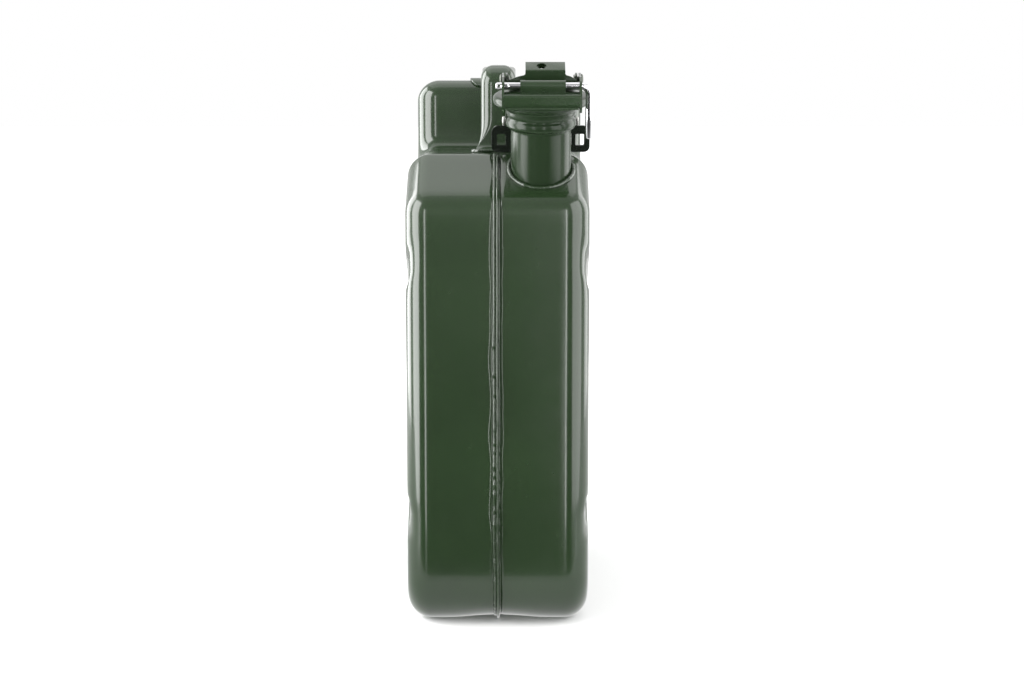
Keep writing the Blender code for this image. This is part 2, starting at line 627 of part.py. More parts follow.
def add_handle(material):
    """A strap with its long edges turned in, opened out flat and wide at both feet."""
    path = [Vector(p) for p in handle_path()]
    lengths = [0.0]
    for a, b in zip(path, path[1:]):
        lengths.append(lengths[-1] + (b - a).length)
    total = lengths[-1]
    points, loops = [], []
    for k, spot in enumerate(path):
        before, after = path[max(k - 1, 0)], path[min(k + 1, len(path) - 1)]
        along = (after - before).normalized()
        inward = Vector((along.y, -along.x))
        front = lengths[k]
        rear = total - lengths[k]
        flat = max(1.0 - smoothstep(18.0, 34.0, front), 1.0 - smoothstep(50.0, 76.0, rear))
        foot = 1.0 - smoothstep(6.0, 24.0, front)
        half = STRAP_HALF + 7.0 * foot
        if k in (0, len(path) - 1):
            half -= 4.0
        corner = 4.2 * (1.0 - flat) + 1.7 * flat
        depth = 10.5 * (1.0 - flat) + LIP * flat
        section = []
        for offset in (0.0, STRAP):
            side_half = half - offset
            radius = corner - offset
            arc = [(-side_half, depth)]
            arc += [(-side_half + radius * (1.0 - math.cos(a)), offset + radius * (1.0 - math.sin(a)))
                    for a in (0.0, math.pi / 6.0, math.pi / 3.0, math.pi / 2.0)]
            arc += [(-x, d) for x, d in reversed(arc)]
            section += arc if offset == 0.0 else arc[::-1]
        loop = []
        for x, down in section:
            loop.append(len(points))
            place = spot + inward * down
            points.append((x, place.x + FRONT_Y, place.y))
        loops.append(loop)
    faces = []
    count = len(loops[0])
    for low, high in zip(loops, loops[1:]):
        faces += [[low[k], low[(k + 1) % count], high[(k + 1) % count], high[k]]
                  for k in range(count)]
    half_count = count // 2
    for loop, turn in ((loops[0], 1), (loops[-1], -1)):
        for k in range(half_count - 1):
            quad = [loop[k], loop[count - 1 - k], loop[count - 2 - k], loop[k + 1]]
            faces.append(quad[::-1] if turn > 0 else quad)
    return add_mesh("handle", points, faces, material, smooth=40.0)


def add_rear_plate(material):
    """The doubler over the front edge of the air chamber that the strap's rear end rests on."""
    lift = 0.6
    radius = 14.0
    path = []
    for step in range(7):
        angle = math.radians(18.0 + 72.0 * step / 6.0)
        path.append((HUMP_FRONT + radius - (radius + lift) * math.cos(angle),
                     HUMP_TOP - radius + (radius + lift) * math.sin(angle)))
    path += [(HUMP_FRONT + 30.0, HUMP_TOP + lift), (HUMP_FRONT + 46.0, HUMP_TOP + lift),
             (HUMP_FRONT + 53.0, HUMP_TOP + lift)]
    halves = [9.0, 15.5, 19.3, 21.6, 22.7, 23.0, 23.0, 22.0, 19.0, 12.0]
    path = [Vector(p) for p in path]
    points, loops = [], []
    for k, (spot, half) in enumerate(zip(path, halves)):
        along = (path[min(k + 1, len(path) - 1)] - path[max(k - 1, 0)]).normalized()
        outward = Vector((-along.y, along.x))
        loop = []
        for x, rise in ((-half, 0.0), (0.0, 0.0), (half, 0.0), (half, 1.5), (0.0, 1.5),
                        (-half, 1.5)):
            place = spot + outward * rise
            loop.append(len(points))
            points.append((x, place.x + FRONT_Y, place.y))
        loops.append(loop)
    faces = []
    for low, high in zip(loops, loops[1:]):
        faces += [[low[k], high[k], high[(k + 1) % 6], low[(k + 1) % 6]] for k in range(6)]
    faces += [loops[0], loops[-1][::-1]]
    return add_mesh("handle_rear_plate", points, faces, material, smooth=30.0)


def add_handle_welds(material):
    """Beads in front of the front foot and along the rear end of the strap."""
    radius = 1.1
    height = BODY_TOP + 0.5 + radius
    centres = []
    front = LEG_Y - 17.0 - GAP - radius
    for x in (-14.5, -8.0, 0.0, 8.0, 14.5):
        centres.append((x, front + FRONT_Y - 0.2, height))
    bead("handle_front_weld", centres, radius, 2, material, False)
    rear = HUMP_FRONT + 46.0 + GAP + radius + 0.2
    height = HUMP_TOP + 2.1 + 0.4 + radius
    centres = [(x, rear + FRONT_Y, height) for x in (-8.0, 0.0, 8.0)]
    bead("handle_rear_weld", centres, radius, 2, material, False)


def build():
    for thing in list(bpy.data.objects):
        bpy.data.objects.remove(thing, do_unlink=True)
    enamel = paint("can_paint", (0.036, 0.060, 0.030), 0.22)
    chrome = paint("bright_chrome", (0.62, 0.62, 0.63), 0.12, 1.0)
    steel = paint("zinc_steel", (0.42, 0.42, 0.40), 0.38, 1.0)
    rubber = paint("black_rubber", (0.012, 0.012, 0.012), 0.75)

    add_half_shell("left_shell", -1.0, enamel)
    right = add_half_shell("right_shell", 1.0, enamel)
    add_seam_flange(enamel)

    frame = add_empty("neck_frame", (NECK_X, FRONT_Y + NECK_FOOT_Y, NECK_FOOT_Z), NECK_LEAN)
    add_neck(frame, enamel)
    add_neck_weld(frame, right, enamel)
    boolean(right, neck_hole(frame))
    add_breather(frame, steel, steel)
    add_bracket(frame, enamel, enamel)
    add_hinge_pin(frame, steel)
    add_lid(frame, enamel)
    add_seal(frame, rubber, steel)
    add_yoke(frame, enamel)
    add_lever(frame, enamel)
    add_lever_rivets(frame, steel)
    add_safety_pin(frame, chrome)

    add_handle(enamel)
    add_rear_plate(enamel)
    add_handle_welds(enamel)


build()
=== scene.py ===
"""A ten-litre pressed-steel fuel can: two welded halves, a strap handle and a lever-locked cap."""
import math

import bmesh
import bpy
from mathutils import Matrix, Vector
from mathutils.bvhtree import BVHTree
from mathutils.geometry import delaunay_2d_cdt
from mathutils.noise import noise as wander


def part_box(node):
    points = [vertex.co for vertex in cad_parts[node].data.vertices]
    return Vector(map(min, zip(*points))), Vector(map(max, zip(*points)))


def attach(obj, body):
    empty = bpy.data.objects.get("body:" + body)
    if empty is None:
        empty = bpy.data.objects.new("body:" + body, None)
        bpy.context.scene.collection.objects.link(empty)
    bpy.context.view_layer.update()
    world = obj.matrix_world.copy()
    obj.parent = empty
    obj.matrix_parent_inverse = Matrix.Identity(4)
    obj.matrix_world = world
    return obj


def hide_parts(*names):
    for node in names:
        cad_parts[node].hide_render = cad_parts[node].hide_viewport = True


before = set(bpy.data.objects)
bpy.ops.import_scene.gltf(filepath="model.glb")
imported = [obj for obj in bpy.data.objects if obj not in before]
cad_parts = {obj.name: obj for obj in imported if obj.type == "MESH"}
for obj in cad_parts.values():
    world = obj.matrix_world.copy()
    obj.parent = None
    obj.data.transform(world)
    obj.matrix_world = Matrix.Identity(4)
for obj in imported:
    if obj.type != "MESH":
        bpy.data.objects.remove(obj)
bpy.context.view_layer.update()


# ------------------------------------------------------------------ the two tank halves
# Each half is one deep-drawn pressing of mild steel, about a millimetre thick, with a crossed
# pair of stiffening grooves in its side and a raised air chamber at the rear of its top.
# The halves are welded edge to edge in a narrow valley and baked in glossy olive enamel.

MM = 0.001
shell_low, shell_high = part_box("right_shell")
HALF_WIDTH = shell_high.x / MM
FRONT_Y = shell_low.y / MM
LENGTH = (shell_high.y - shell_low.y) / MM
HUMP_TOP = shell_high.z / MM
BODY_TOP = 328.0
FRONT_TOP = 298.0
SHOULDER_RUN = 46.0
HUMP_FRONT = 190.0
ROLL = 17.0
BASE_RADIUS = 34.0
VALLEY_DEPTH = 1.5
BELLY, BELLY_RISE = 2.0, 14.0
WALL = 0.9
RIB_DEPTH = 2.2
RIB_FLOOR, RIB_EDGE = 6.5, 12.5
RIB_RISE = 96.0
RIB_CENTRE_Z = 164.0
NECK_LEAN = math.radians(12.0)
NECK_FOOT = Vector((30.0, FRONT_Y + 31.0, 318.0))
NECK_PLACE = Matrix.Translation(NECK_FOOT) @ Matrix.Rotation(NECK_LEAN, 4, "X")


def ease(low, high, value):
    t = min(1.0, max(0.0, (value - low) / (high - low)))
    return t * t * (3.0 - 2.0 * t)


def make_piece(name, points, faces, material, body, finish, place=None, sharp=38.0):
    """A smooth-shaded piece from points in millimetres; place puts a local frame in the can's."""
    mesh = bpy.data.meshes.new(name)
    if place is not None:
        points = [place @ Vector(p) for p in points]
    mesh.from_pydata([Vector(p) * MM for p in points], [], faces)
    skin = bmesh.new()
    skin.from_mesh(mesh)
    bmesh.ops.recalc_face_normals(skin, faces=skin.faces)
    skin.to_mesh(mesh)
    skin.free()
    mesh.shade_smooth()
    mesh.set_sharp_from_angle(angle=math.radians(sharp))
    mesh.materials.append(material)
    piece = bpy.data.objects.new(name, mesh)
    bpy.context.scene.collection.objects.link(piece)
    if body:
        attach(piece, body)
    return piece


def fillet(corners, inset=0.0):
    """Outline through corners (a, b, radius, steps, edge offset) with every corner an arc."""
    count = len(corners)
    lines = []
    for k in range(count):
        start, end = Vector(corners[k][:2]), Vector(corners[(k + 1) % count][:2])
        along = (end - start).normalized()
        lines.append((start + Vector((-along.y, along.x)) * (inset + corners[k][4]), along))
    outline = []
    for k in range(count):
        (p, d), (q, e) = lines[k - 1], lines[k]
        turn = d.x * e.y - d.y * e.x
        corner = p + d * (((q - p).x * e.y - (q - p).y * e.x) / turn)
        radius, steps = corners[k][2:4]
        if radius <= 0.0:
            outline.append(tuple(corner))
            continue
        radius = max(min(1.0, radius), radius - inset) if turn > 0.0 else radius + inset
        sweep = math.atan2(turn, d.dot(e))
        normal = Vector((-d.y, d.x)) * (1.0 if turn > 0.0 else -1.0)
        centre = corner - d * radius * math.tan(abs(sweep) / 2.0) + normal * radius
        for step in range(steps + 1):
            c, s = math.cos(sweep * step / steps), math.sin(sweep * step / steps)
            arm = Vector((-normal.x * c + normal.y * s, -normal.x * s - normal.y * c))
            outline.append(tuple(centre + arm * radius))
    return outline


def side_corners(front=0.0, slope=0.0, top=0.0, face=0.0, crown=0.0, rear=0.0, base=0.0,
                 base_radius=BASE_RADIUS):
    return [(0.0, 0.0, base_radius, 16, base), (LENGTH, 0.0, base_radius, 16, rear),
            (LENGTH, HUMP_TOP, 26.0, 14, crown), (HUMP_FRONT, HUMP_TOP, 14.0, 10, face),
            (HUMP_FRONT, BODY_TOP, 12.0, 9, top), (SHOULDER_RUN, BODY_TOP, 8.0, 5, slope),
            (0.0, FRONT_TOP, 20.0, 9, front)]


def even_ring(corners, inset, pitch=6.5):
    """The outline with its straights split, the same number of points at every inset."""
    outline, plain = fillet(corners, inset), fillet(corners)
    ring = []
    for k, point in enumerate(outline):
        n = (k + 1) % len(outline)
        pieces = max(1, round(math.dist(plain[k], plain[n]) / pitch))
        following = outline[n]
        for step in range(pieces):
            t = step / pieces
            ring.append((point[0] + (following[0] - point[0]) * t,
                         point[1] + (following[1] - point[1]) * t))
    return ring


def groove_offsets(y, z):
    """Distances across the two grooves of the pressed cross."""
    half = LENGTH / 2.0
    span = math.hypot(half, RIB_RISE)
    return [abs((y - half) * sign * RIB_RISE - (z - RIB_CENTRE_Z) * half) / span
            for sign in (-1.0, 1.0)]


def groove_dip(y, z):
    return max(RIB_DEPTH * (1.0 - ease(RIB_FLOOR, RIB_EDGE, across)) for across in groove_offsets(y, z))


def side_net(edge):
    """Triangles of the flat side, close together along the slopes of the grooves."""
    half = LENGTH / 2.0
    span = math.hypot(half, RIB_RISE)
    spots = []
    for sign in (-1.0, 1.0):
        along = Vector((half, sign * RIB_RISE)) / span
        across = Vector((-along.y, along.x))
        for offset in (0.0, 4.6, 6.2, 7.7, 9.2, 10.7, 12.2, 13.7, 15.4):
            for side in (-1.0, 1.0):
                for step in range(-32, 33):
                    spot = Vector((half, RIB_CENTRE_Z)) + along * step * 5.0
                    spots.append(spot + across * offset * side)
    for row in range(1, 24):
        for column in range(1, 18):
            spot = Vector((column * 16.0 + (row % 2) * 8.0, row * 16.0))
            if min(groove_offsets(spot.x, spot.y)) > 20.0:
                spots.append(spot)
    rim = BVHTree.FromPolygons([(*p, 0.0) for p in edge], [list(range(len(edge)))])
    kept, cells = [Vector(p) for p in edge], set()
    walls = [(Vector(a), Vector(b)) for a, b in zip(edge, edge[1:] + edge[:1])]
    for spot in spots:
        if rim.ray_cast(Vector((*spot, 1.0)), Vector((0.0, 0.0, -1.0)))[0] is None:
            continue
        gap = 9.0
        for a, b in walls:
            t = min(1.0, max(0.0, (spot - a).dot(b - a) / (b - a).length_squared))
            gap = min(gap, (spot - a - (b - a) * t).length)
        key = (round(spot.x / 0.6), round(spot.y / 0.6))
        if gap > 2.5 and not any((key[0] + i, key[1] + j) in cells
                                 for i in (-1, 0, 1) for j in (-1, 0, 1)):
            cells.add(key)
            kept.append(spot)
    places, _, triangles, _, _, _ = delaunay_2d_cdt(kept, [], [list(range(len(edge)))], 1, 1e-4)
    return places, triangles


def sway(y, z):
    """How far hand welding has pulled the seam aside."""
    return 0.75 * wander(Vector((y * 0.018, z * 0.018, 3.0)))


def pressed_rings(valley):
    """(x, inset, share of the groove) from the seam out to the flat side."""
    rings = []
    for x in (1.15, 1.7, 2.3, 3.0, 3.7, 4.4, 5.1, 5.8, 6.6, 7.6, 9.0, 15.0, 22.0, 29.0, 36.0,
              42.0):
        rings.append((x, VALLEY_DEPTH * (1.0 - ease(0.2, valley, x)), 0.0))
    for step in range(13):
        t = 0.5 * math.pi * step / 12.0
        rings.append((HALF_WIDTH - ROLL + ROLL * math.sin(t), ROLL - ROLL * math.cos(t),
                      math.sin(t) ** 3))
    return rings


def pressed_half(name, side, material):
    points, loops = [], []
    for x, inset, share in pressed_rings(5.4 if side < 0.0 else 4.0):
        loop = []
        for y, z in even_ring(side_corners(), inset):
            loop.append(len(points))
            belly = BELLY * (1.0 - ease(5.0, 35.0, x)) * max(0.0, 1.0 - z / BELLY_RISE)
            ripple = 1.0 + 0.45 * wander(Vector((y * 0.04, z * 0.04, 40.0 + 9.0 * side)))
            drift = (sway(y, z) + side * (ripple - 1.0) * x) * (1.0 - ease(4.0, 14.0, x))
            points.append((side * (x - share * groove_dip(y, z)) + drift, y + FRONT_Y, z + belly))
        loops.append(loop)
    count = len(loops[0])
    faces = [[low[k], low[(k + 1) % count], high[(k + 1) % count], high[k]]
             for low, high in zip(loops, loops[1:]) for k in range(count)]
    places, triangles = side_net(even_ring(side_corners(), ROLL))
    index = dict(enumerate(loops[-1]))
    for k in range(count, len(places)):
        y, z = places[k]
        index[k] = len(points)
        points.append((side * (HALF_WIDTH - groove_dip(y, z)), y + FRONT_Y, z))
    faces += [[index[k] for k in triangle] for triangle in triangles]
    half = make_piece(name, points, faces, material, "can", "green_enamel", sharp=60.0)
    towards_seam = sum((f.normal.x * f.area for f in half.data.polygons), 0.0) * side
    if towards_seam < 0.0:
        half.data.flip_normals()
    wall = half.modifiers.new("sheet", "SOLIDIFY")
    wall.thickness = WALL * MM
    wall.offset = -1.0
    return half


def enamel_finish(name, green=(0.0128, 0.0262, 0.0100), roughness=0.17, peel=0.2, coat=0.35,
                  shine=0.5):
    """Baked enamel: a clear gloss with fine orange peel, faint clouding and a little dust."""
    material = bpy.data.materials.new(name)
    material.use_nodes = True
    nodes, links = material.node_tree.nodes, material.node_tree.links
    shader = nodes["Principled BSDF"]
    shader.inputs["IOR"].default_value = 1.5
    shader.inputs["Specular IOR Level"].default_value = shine
    shader.inputs["Coat Weight"].default_value = coat
    shader.inputs["Coat Roughness"].default_value = 0.06
    where = nodes.new("ShaderNodeTexCoord")

    def speckle(scale, detail, rough=0.5):
        texture = nodes.new("ShaderNodeTexNoise")
        texture.inputs["Scale"].default_value = scale
        texture.inputs["Detail"].default_value = detail
        texture.inputs["Roughness"].default_value = rough
        links.new(where.outputs["Object"], texture.inputs["Vector"])
        return texture

    clouds = speckle(14.0, 4.0)
    tint = nodes.new("ShaderNodeValToRGB")
    tint.color_ramp.elements[0].position = 0.3
    tint.color_ramp.elements[0].color = (*[c * 0.9 for c in green], 1.0)
    tint.color_ramp.elements[1].position = 0.72
    tint.color_ramp.elements[1].color = (*[c * 1.12 for c in green], 1.0)
    links.new(clouds.outputs["Fac"], tint.inputs["Fac"])
    dust = speckle(160.0, 8.0, 0.7)
    dusting = nodes.new("ShaderNodeMapRange")
    dusting.inputs["From Min"].default_value = 0.60
    dusting.inputs["From Max"].default_value = 0.80
    dusting.inputs["To Max"].default_value = 0.10
    links.new(dust.outputs["Fac"], dusting.inputs["Value"])
    mixed = nodes.new("ShaderNodeMix")
    mixed.data_type = "RGBA"
    mixed.inputs["B"].default_value = (0.09, 0.10, 0.075, 1.0)
    links.new(dusting.outputs["Result"], mixed.inputs["Factor"])
    links.new(tint.outputs["Color"], mixed.inputs["A"])
    links.new(mixed.outputs["Result"], shader.inputs["Base Color"])
    gloss = nodes.new("ShaderNodeMapRange")
    gloss.inputs["From Min"].default_value = 0.3
    gloss.inputs["From Max"].default_value = 0.8
    gloss.inputs["To Min"].default_value = roughness * 0.88
    gloss.inputs["To Max"].default_value = roughness * 1.22
    links.new(speckle(45.0, 6.0, 0.65).outputs["Fac"], gloss.inputs["Value"])
    links.new(gloss.outputs["Result"], shader.inputs["Roughness"])
    skin = nodes.new("ShaderNodeBump")
    skin.inputs["Strength"].default_value = peel
    skin.inputs["Distance"].default_value = 0.00006
    links.new(speckle(620.0, 2.0).outputs["Fac"], skin.inputs["Height"])
    waves = nodes.new("ShaderNodeBump")
    waves.inputs["Strength"].default_value = 0.5
    waves.inputs["Distance"].default_value = 0.0009
    links.new(speckle(11.0, 1.0).outputs["Fac"], waves.inputs["Height"])
    links.new(skin.outputs["Normal"], waves.inputs["Normal"])
    links.new(waves.outputs["Normal"], shader.inputs["Normal"])
    return material


def lathe(profile, segments):
    """Points and faces of a closed (radius, height) profile turned about Z."""
    points, rings = [], []
    for radius, height in profile:
        at_axis = radius < 1e-6
        rings.append([len(points) + (0 if at_axis else k) for k in range(segments)])
        for k in range(1 if at_axis else segments):
            angle = 2.0 * math.pi * k / segments
            points.append((radius * math.cos(angle), radius * math.sin(angle), height))
    faces = []
    for low, high in zip(rings, rings[1:] + rings[:1]):
        for k in range(segments):
            n = (k + 1) % segments
            corners = list(dict.fromkeys((low[k], low[n], high[n], high[k])))
            if len(corners) > 2:
                faces.append(corners)
    return points, faces


def cut(piece, cutter, operation="DIFFERENCE"):
    """A saw, drill or weld: the cutter is spent on the piece at once."""
    modifier = piece.modifiers.new("cut", "BOOLEAN")
    modifier.operation = operation
    modifier.solver = "EXACT"
    modifier.object = cutter
    graph = bpy.context.evaluated_depsgraph_get()
    finished = bpy.data.meshes.new_from_object(piece.evaluated_get(graph), depsgraph=graph)
    piece.modifiers.clear()
    spent = piece.data
    piece.data = finished
    bpy.data.meshes.remove(spent)
    bpy.data.objects.remove(cutter, do_unlink=True)
    return piece


can_enamel = enamel_finish("can_enamel")
left_half = pressed_half("left_half", -1.0, can_enamel)
right_half = pressed_half("right_half", 1.0, can_enamel)
outer_skin = BVHTree.FromPolygons([v.co / MM for v in right_half.data.vertices],
                                  [list(f.vertices) for f in right_half.data.polygons])
hole_points, hole_faces = lathe([(0.0, -40.0), (20.5, -40.0), (20.5, 60.0), (0.0, 60.0)], 64)
cut(right_half, make_piece("filler_hole", hole_points, hole_faces, can_enamel, None, None,
                           NECK_PLACE))
right_half.data.set_sharp_from_angle(angle=math.radians(60.0))
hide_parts("left_shell")
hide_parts("right_shell")


# ------------------------------------------------------------------ seam
# The edges of both halves are turned out, pressed flat together and welded all the way round,
# then painted over: a thin standing rim with a grainy bead along its root.

FLANGE_HALF = 1.0
RIM_DEPTH = 6.5


def standing_rim(material):
    outside = side_corners(front=-2.0, slope=-1.5, top=-0.1, face=-0.5, crown=-0.1, rear=-2.0,
                           base=0.4, base_radius=30.0)
    inside = side_corners(front=6.0, slope=6.0, top=6.0, face=6.0, crown=6.0, rear=6.0,
                          base=6.0, base_radius=28.0)
    tips, roots = fillet(outside), fillet(inside)
    dense_tips, dense_roots = [], []
    for k in range(len(tips)):
        n = (k + 1) % len(tips)
        pieces = max(1, round(math.dist(tips[k], tips[n]) / 2.5))
        for step in range(pieces):
            t = step / pieces
            dense_tips.append(Vector(tips[k]).lerp(Vector(tips[n]), t))
            dense_roots.append(Vector(roots[k]).lerp(Vector(roots[n]), t))
    section = [(-1.0, 0.0), (-1.0, 0.55), (-0.86, 0.86), (-0.45, 0.97), (0.0, 1.0), (0.45, 0.97),
               (0.86, 0.86), (1.0, 0.55), (1.0, 0.0)]
    points, loops = [], []
    for tip, root in zip(dense_tips, dense_roots):
        swell = 1.0 + 0.16 * wander(Vector((tip.x * 0.16, tip.y * 0.16, 9.0)))
        notch = 0.35 + 0.35 * wander(Vector((tip.x * 0.11, tip.y * 0.11, 5.0)))
        outward = (tip - root).normalized()
        loop = []
        for across, height in section:
            loop.append(len(points))
            spot = tip - outward * (notch + (1.0 - height) * RIM_DEPTH)
            points.append((across * FLANGE_HALF * swell + sway(tip.x, tip.y), spot.x + FRONT_Y,
                           spot.y))
        loops.append(loop)
    width = len(section)
    faces = [[low[k], low[(k + 1) % width], high[(k + 1) % width], high[k]]
             for low, high in zip(loops, loops[1:] + loops[:1]) for k in range(width)]
    return make_piece("seam_rim", points, faces, material, "can", "green_enamel", sharp=80.0)


def seam_bead(side, material):
    """The weld at the rim's root, a string of small overlapping droplets."""
    offset, bury = (1.9, 0.60) if side < 0.0 else (1.2, 0.4)
    ring = even_ring(side_corners(), VALLEY_DEPTH - bury, 1.9)
    points, loops = [], []
    sides = 8
    for k, (y, z) in enumerate(ring):
        ahead = Vector(ring[(k + 1) % len(ring)]) - Vector(ring[k - 1])
        outward = Vector((ahead.y, -ahead.x)).normalized()
        grain = wander(Vector((y * 0.55, z * 0.55, 20.0 + side)))
        coarse = 0.12 + 0.30 * (1.0 - ease(205.0, 250.0, z))
        radius = (1.0 + coarse * grain) * (1.5 if side < 0.0 else 0.75)
        belly = BELLY * max(0.0, 1.0 - z / BELLY_RISE)
        loop = []
        for turn in range(sides):
            angle = 2.0 * math.pi * turn / sides
            lift = radius * math.sin(angle)
            loop.append(len(points))
            points.append((side * (offset + radius * math.cos(angle)) + sway(y, z),
                           y + outward.x * lift + FRONT_Y, z + outward.y * lift + belly))
        loops.append(loop)
    faces = [[low[k], low[(k + 1) % sides], high[(k + 1) % sides], high[k]]
             for low, high in zip(loops, loops[1:] + loops[:1]) for k in range(sides)]
    word = "left" if side < 0.0 else "right"
    return make_piece("seam_bead_" + word, points, faces, material, "can", "green_enamel",
                      sharp=80.0)


weld_enamel = enamel_finish("weld_enamel", (0.0122, 0.0250, 0.0096), 0.2, 0.9)
rim = standing_rim(weld_enamel)
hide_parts("seam_flange")
seam_bead(-1.0, weld_enamel)
seam_bead(1.0, weld_enamel)


# ------------------------------------------------------------------ filler neck
# A drawn steel tube set into the right half's shoulder and leaning forwards. Its mouth is beaded
# twice and rolled out to a seat for the gasket; a fillet weld closes its foot.

NECK_RADIUS = 21.0
SEAT_Z = 45.8


def soften(profile, passes=2):
    """Rounds a turned profile by cutting its corners."""
    for _ in range(passes):
        softer = []
        for k, (radius, height) in enumerate(profile):
            r2, z2 = profile[(k + 1) % len(profile)]
            softer.append((radius * 0.75 + r2 * 0.25, height * 0.75 + z2 * 0.25))
            softer.append((radius * 0.25 + r2 * 0.75, height * 0.25 + z2 * 0.75))
        profile = softer
    return profile


neck_profile = soften([
    (20.9, -16.0), (20.9, 26.0), (20.9, 28.6), (21.4, 29.4), (22.9, 29.9), (23.9, 31.2),
    (24.1, 33.0), (23.7, 35.0), (22.7, 36.4), (22.6, 37.4), (23.5, 38.6), (24.0, 40.4),
    (24.3, 42.6), (25.6, 43.6), (26.6, 44.6), (26.3, SEAT_Z), (23.9, SEAT_Z), (21.8, SEAT_Z),
    (20.3, 44.8), (19.8, 42.5), (19.8, 38.0), (19.8, -16.0)])
# The neck's green is darker than the tank's, though both wear one enamel: the darkening is painted
# shade for the shadow under the cap.
neck_enamel_with_painted_shade = enamel_finish("neck_enamel_with_painted_shade", (0.0115, 0.0222, 0.0095), 0.20, coat=0.0, shine=0.26)
neck_tube = make_piece("filler_neck", *lathe(neck_profile, 128), neck_enamel_with_painted_shade, "can",
                       "green_enamel", NECK_PLACE, 50.0)
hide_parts("neck")

REACH = NECK_RADIUS + 1.7
bead_points, bead_loops = [], []
for k in range(150):
    angle = 2.0 * math.pi * k / 150.0
    spot = Vector((REACH * math.cos(angle), REACH * math.sin(angle), 30.0))
    size = 1.45 + 0.06 * math.sin(angle * 41.0) + 0.25 * wander(Vector((3.0 * angle, 1.0, 0.0)))
    while spot.z > -30.0 and outer_skin.find_nearest(NECK_PLACE @ spot)[3] > size * 0.45:
        spot.z -= 0.1
    loop = []
    for turn in range(12):
        around = 2.0 * math.pi * turn / 12.0
        out = REACH - 0.3 + size * math.cos(around)
        loop.append(len(bead_points))
        bead_points.append((out * math.cos(angle), out * math.sin(angle),
                            spot.z + size * math.sin(around)))
    bead_loops.append(loop)
bead_faces = [[low[k], low[(k + 1) % 12], high[(k + 1) % 12], high[k]]
              for low, high in zip(bead_loops, bead_loops[1:] + bead_loops[:1])
              for k in range(12)]
neck_fillet = make_piece("neck_fillet", bead_points, bead_faces, weld_enamel, "can",
                         "green_enamel", NECK_PLACE, 80.0)
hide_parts("neck_weld")


# ------------------------------------------------------------------ vent pipe
# A thin zinc-plated pipe runs from the mouth down the neck and back under the top into the air
# chamber, so that the can pours without gulping. A small band holds it to the neck.

def plated_finish(name, colour, roughness, brushing=0.0, grain=900.0):
    """Plated or bare steel with fine drawing lines and faint fingering."""
    material = bpy.data.materials.new(name)
    material.use_nodes = True
    nodes, links = material.node_tree.nodes, material.node_tree.links
    shader = nodes["Principled BSDF"]
    shader.inputs["Metallic"].default_value = 1.0
    where = nodes.new("ShaderNodeTexCoord")
    stretch = nodes.new("ShaderNodeMapping")
    stretch.inputs["Scale"].default_value = (1.0 - brushing, 1.0, 1.0)
    links.new(where.outputs["Object"], stretch.inputs["Vector"])
    lines = nodes.new("ShaderNodeTexNoise")
    lines.inputs["Scale"].default_value = grain
    lines.inputs["Detail"].default_value = 5.0
    links.new(stretch.outputs["Vector"], lines.inputs["Vector"])
    stain = nodes.new("ShaderNodeTexNoise")
    stain.inputs["Scale"].default_value = 90.0
    stain.inputs["Detail"].default_value = 6.0
    links.new(where.outputs["Object"], stain.inputs["Vector"])
    tint = nodes.new("ShaderNodeValToRGB")
    tint.color_ramp.elements[0].position = 0.3
    tint.color_ramp.elements[0].color = (*[c * 0.78 for c in colour], 1.0)
    tint.color_ramp.elements[1].position = 0.7
    tint.color_ramp.elements[1].color = (*colour, 1.0)
    links.new(stain.outputs["Fac"], tint.inputs["Fac"])
    links.new(tint.outputs["Color"], shader.inputs["Base Color"])
    gloss = nodes.new("ShaderNodeMapRange")
    gloss.inputs["To Min"].default_value = roughness * 0.7
    gloss.inputs["To Max"].default_value = roughness * 1.5
    links.new(stain.outputs["Fac"], gloss.inputs["Value"])
    links.new(gloss.outputs["Result"], shader.inputs["Roughness"])
    skin = nodes.new("ShaderNodeBump")
    skin.inputs["Strength"].default_value = 0.25
    skin.inputs["Distance"].default_value = 0.00004
    links.new(lines.outputs["Fac"], skin.inputs["Height"])
    links.new(skin.outputs["Normal"], shader.inputs["Normal"])
    return material


zinc = plated_finish("zinc_plate", (0.46, 0.46, 0.44), 0.34)


def refinish(node, material):
    """Keeps a CAD node's shape and gives it a better finish."""
    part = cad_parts[node]
    part.data.materials.clear()
    part.data.materials.append(material)
    return part


for node in ("breather_tube", "breather_clip"):
    refinish(node, zinc)


# ------------------------------------------------------------------ neck bracket and hinge pin
# A folded plate of thicker steel is welded behind the neck. Two windows lighten its ends and two
# wings stand out at its back to carry the cap's steel hinge pin.

HINGE_Y, HINGE_Z = 31.0, 27.0
HINGE_HOLE = 2.3


def plate(name, outline, low, high, axis, material, body, place=NECK_PLACE, edge=0.28):
    """A piece cut from sheet: an outline carried along one axis, with its edges broken."""
    order = {"X": (2, 0, 1), "Y": (1, 2, 0), "Z": (0, 1, 2)}[axis]
    points = []
    for level in (low, high):
        points += [tuple((a, b, level)[i] for i in order) for a, b in outline]
    n = len(outline)
    faces = [list(range(n - 1, -1, -1)), list(range(n, 2 * n))]
    faces += [[k, (k + 1) % n, n + (k + 1) % n, n + k] for k in range(n)]
    piece = make_piece(name, points, faces, material, body, "green_enamel", place, 30.0)
    piece["edge"] = edge
    return piece


def break_edges(piece):
    """Rounds every sheared edge a little, as paint and tumbling leave it."""
    bevel = piece.modifiers.new("edges", "BEVEL")
    bevel.width = piece["edge"] * MM
    bevel.segments = 2
    bevel.limit_method = "ANGLE"
    bevel.angle_limit = math.radians(40.0)
    bevel.harden_normals = True
    del piece["edge"]
    return piece


def drill(piece, y, z, radius, low=-40.0, high=40.0):
    """A round hole through the piece along X, in the neck's frame."""
    points, faces = lathe([(0.0, low), (radius, low), (radius, high), (0.0, high)], 32)
    points = [(c, b + y, z - a) for a, b, c in points]
    return cut(piece, make_piece("drill", points, faces, can_enamel, None, None, NECK_PLACE))


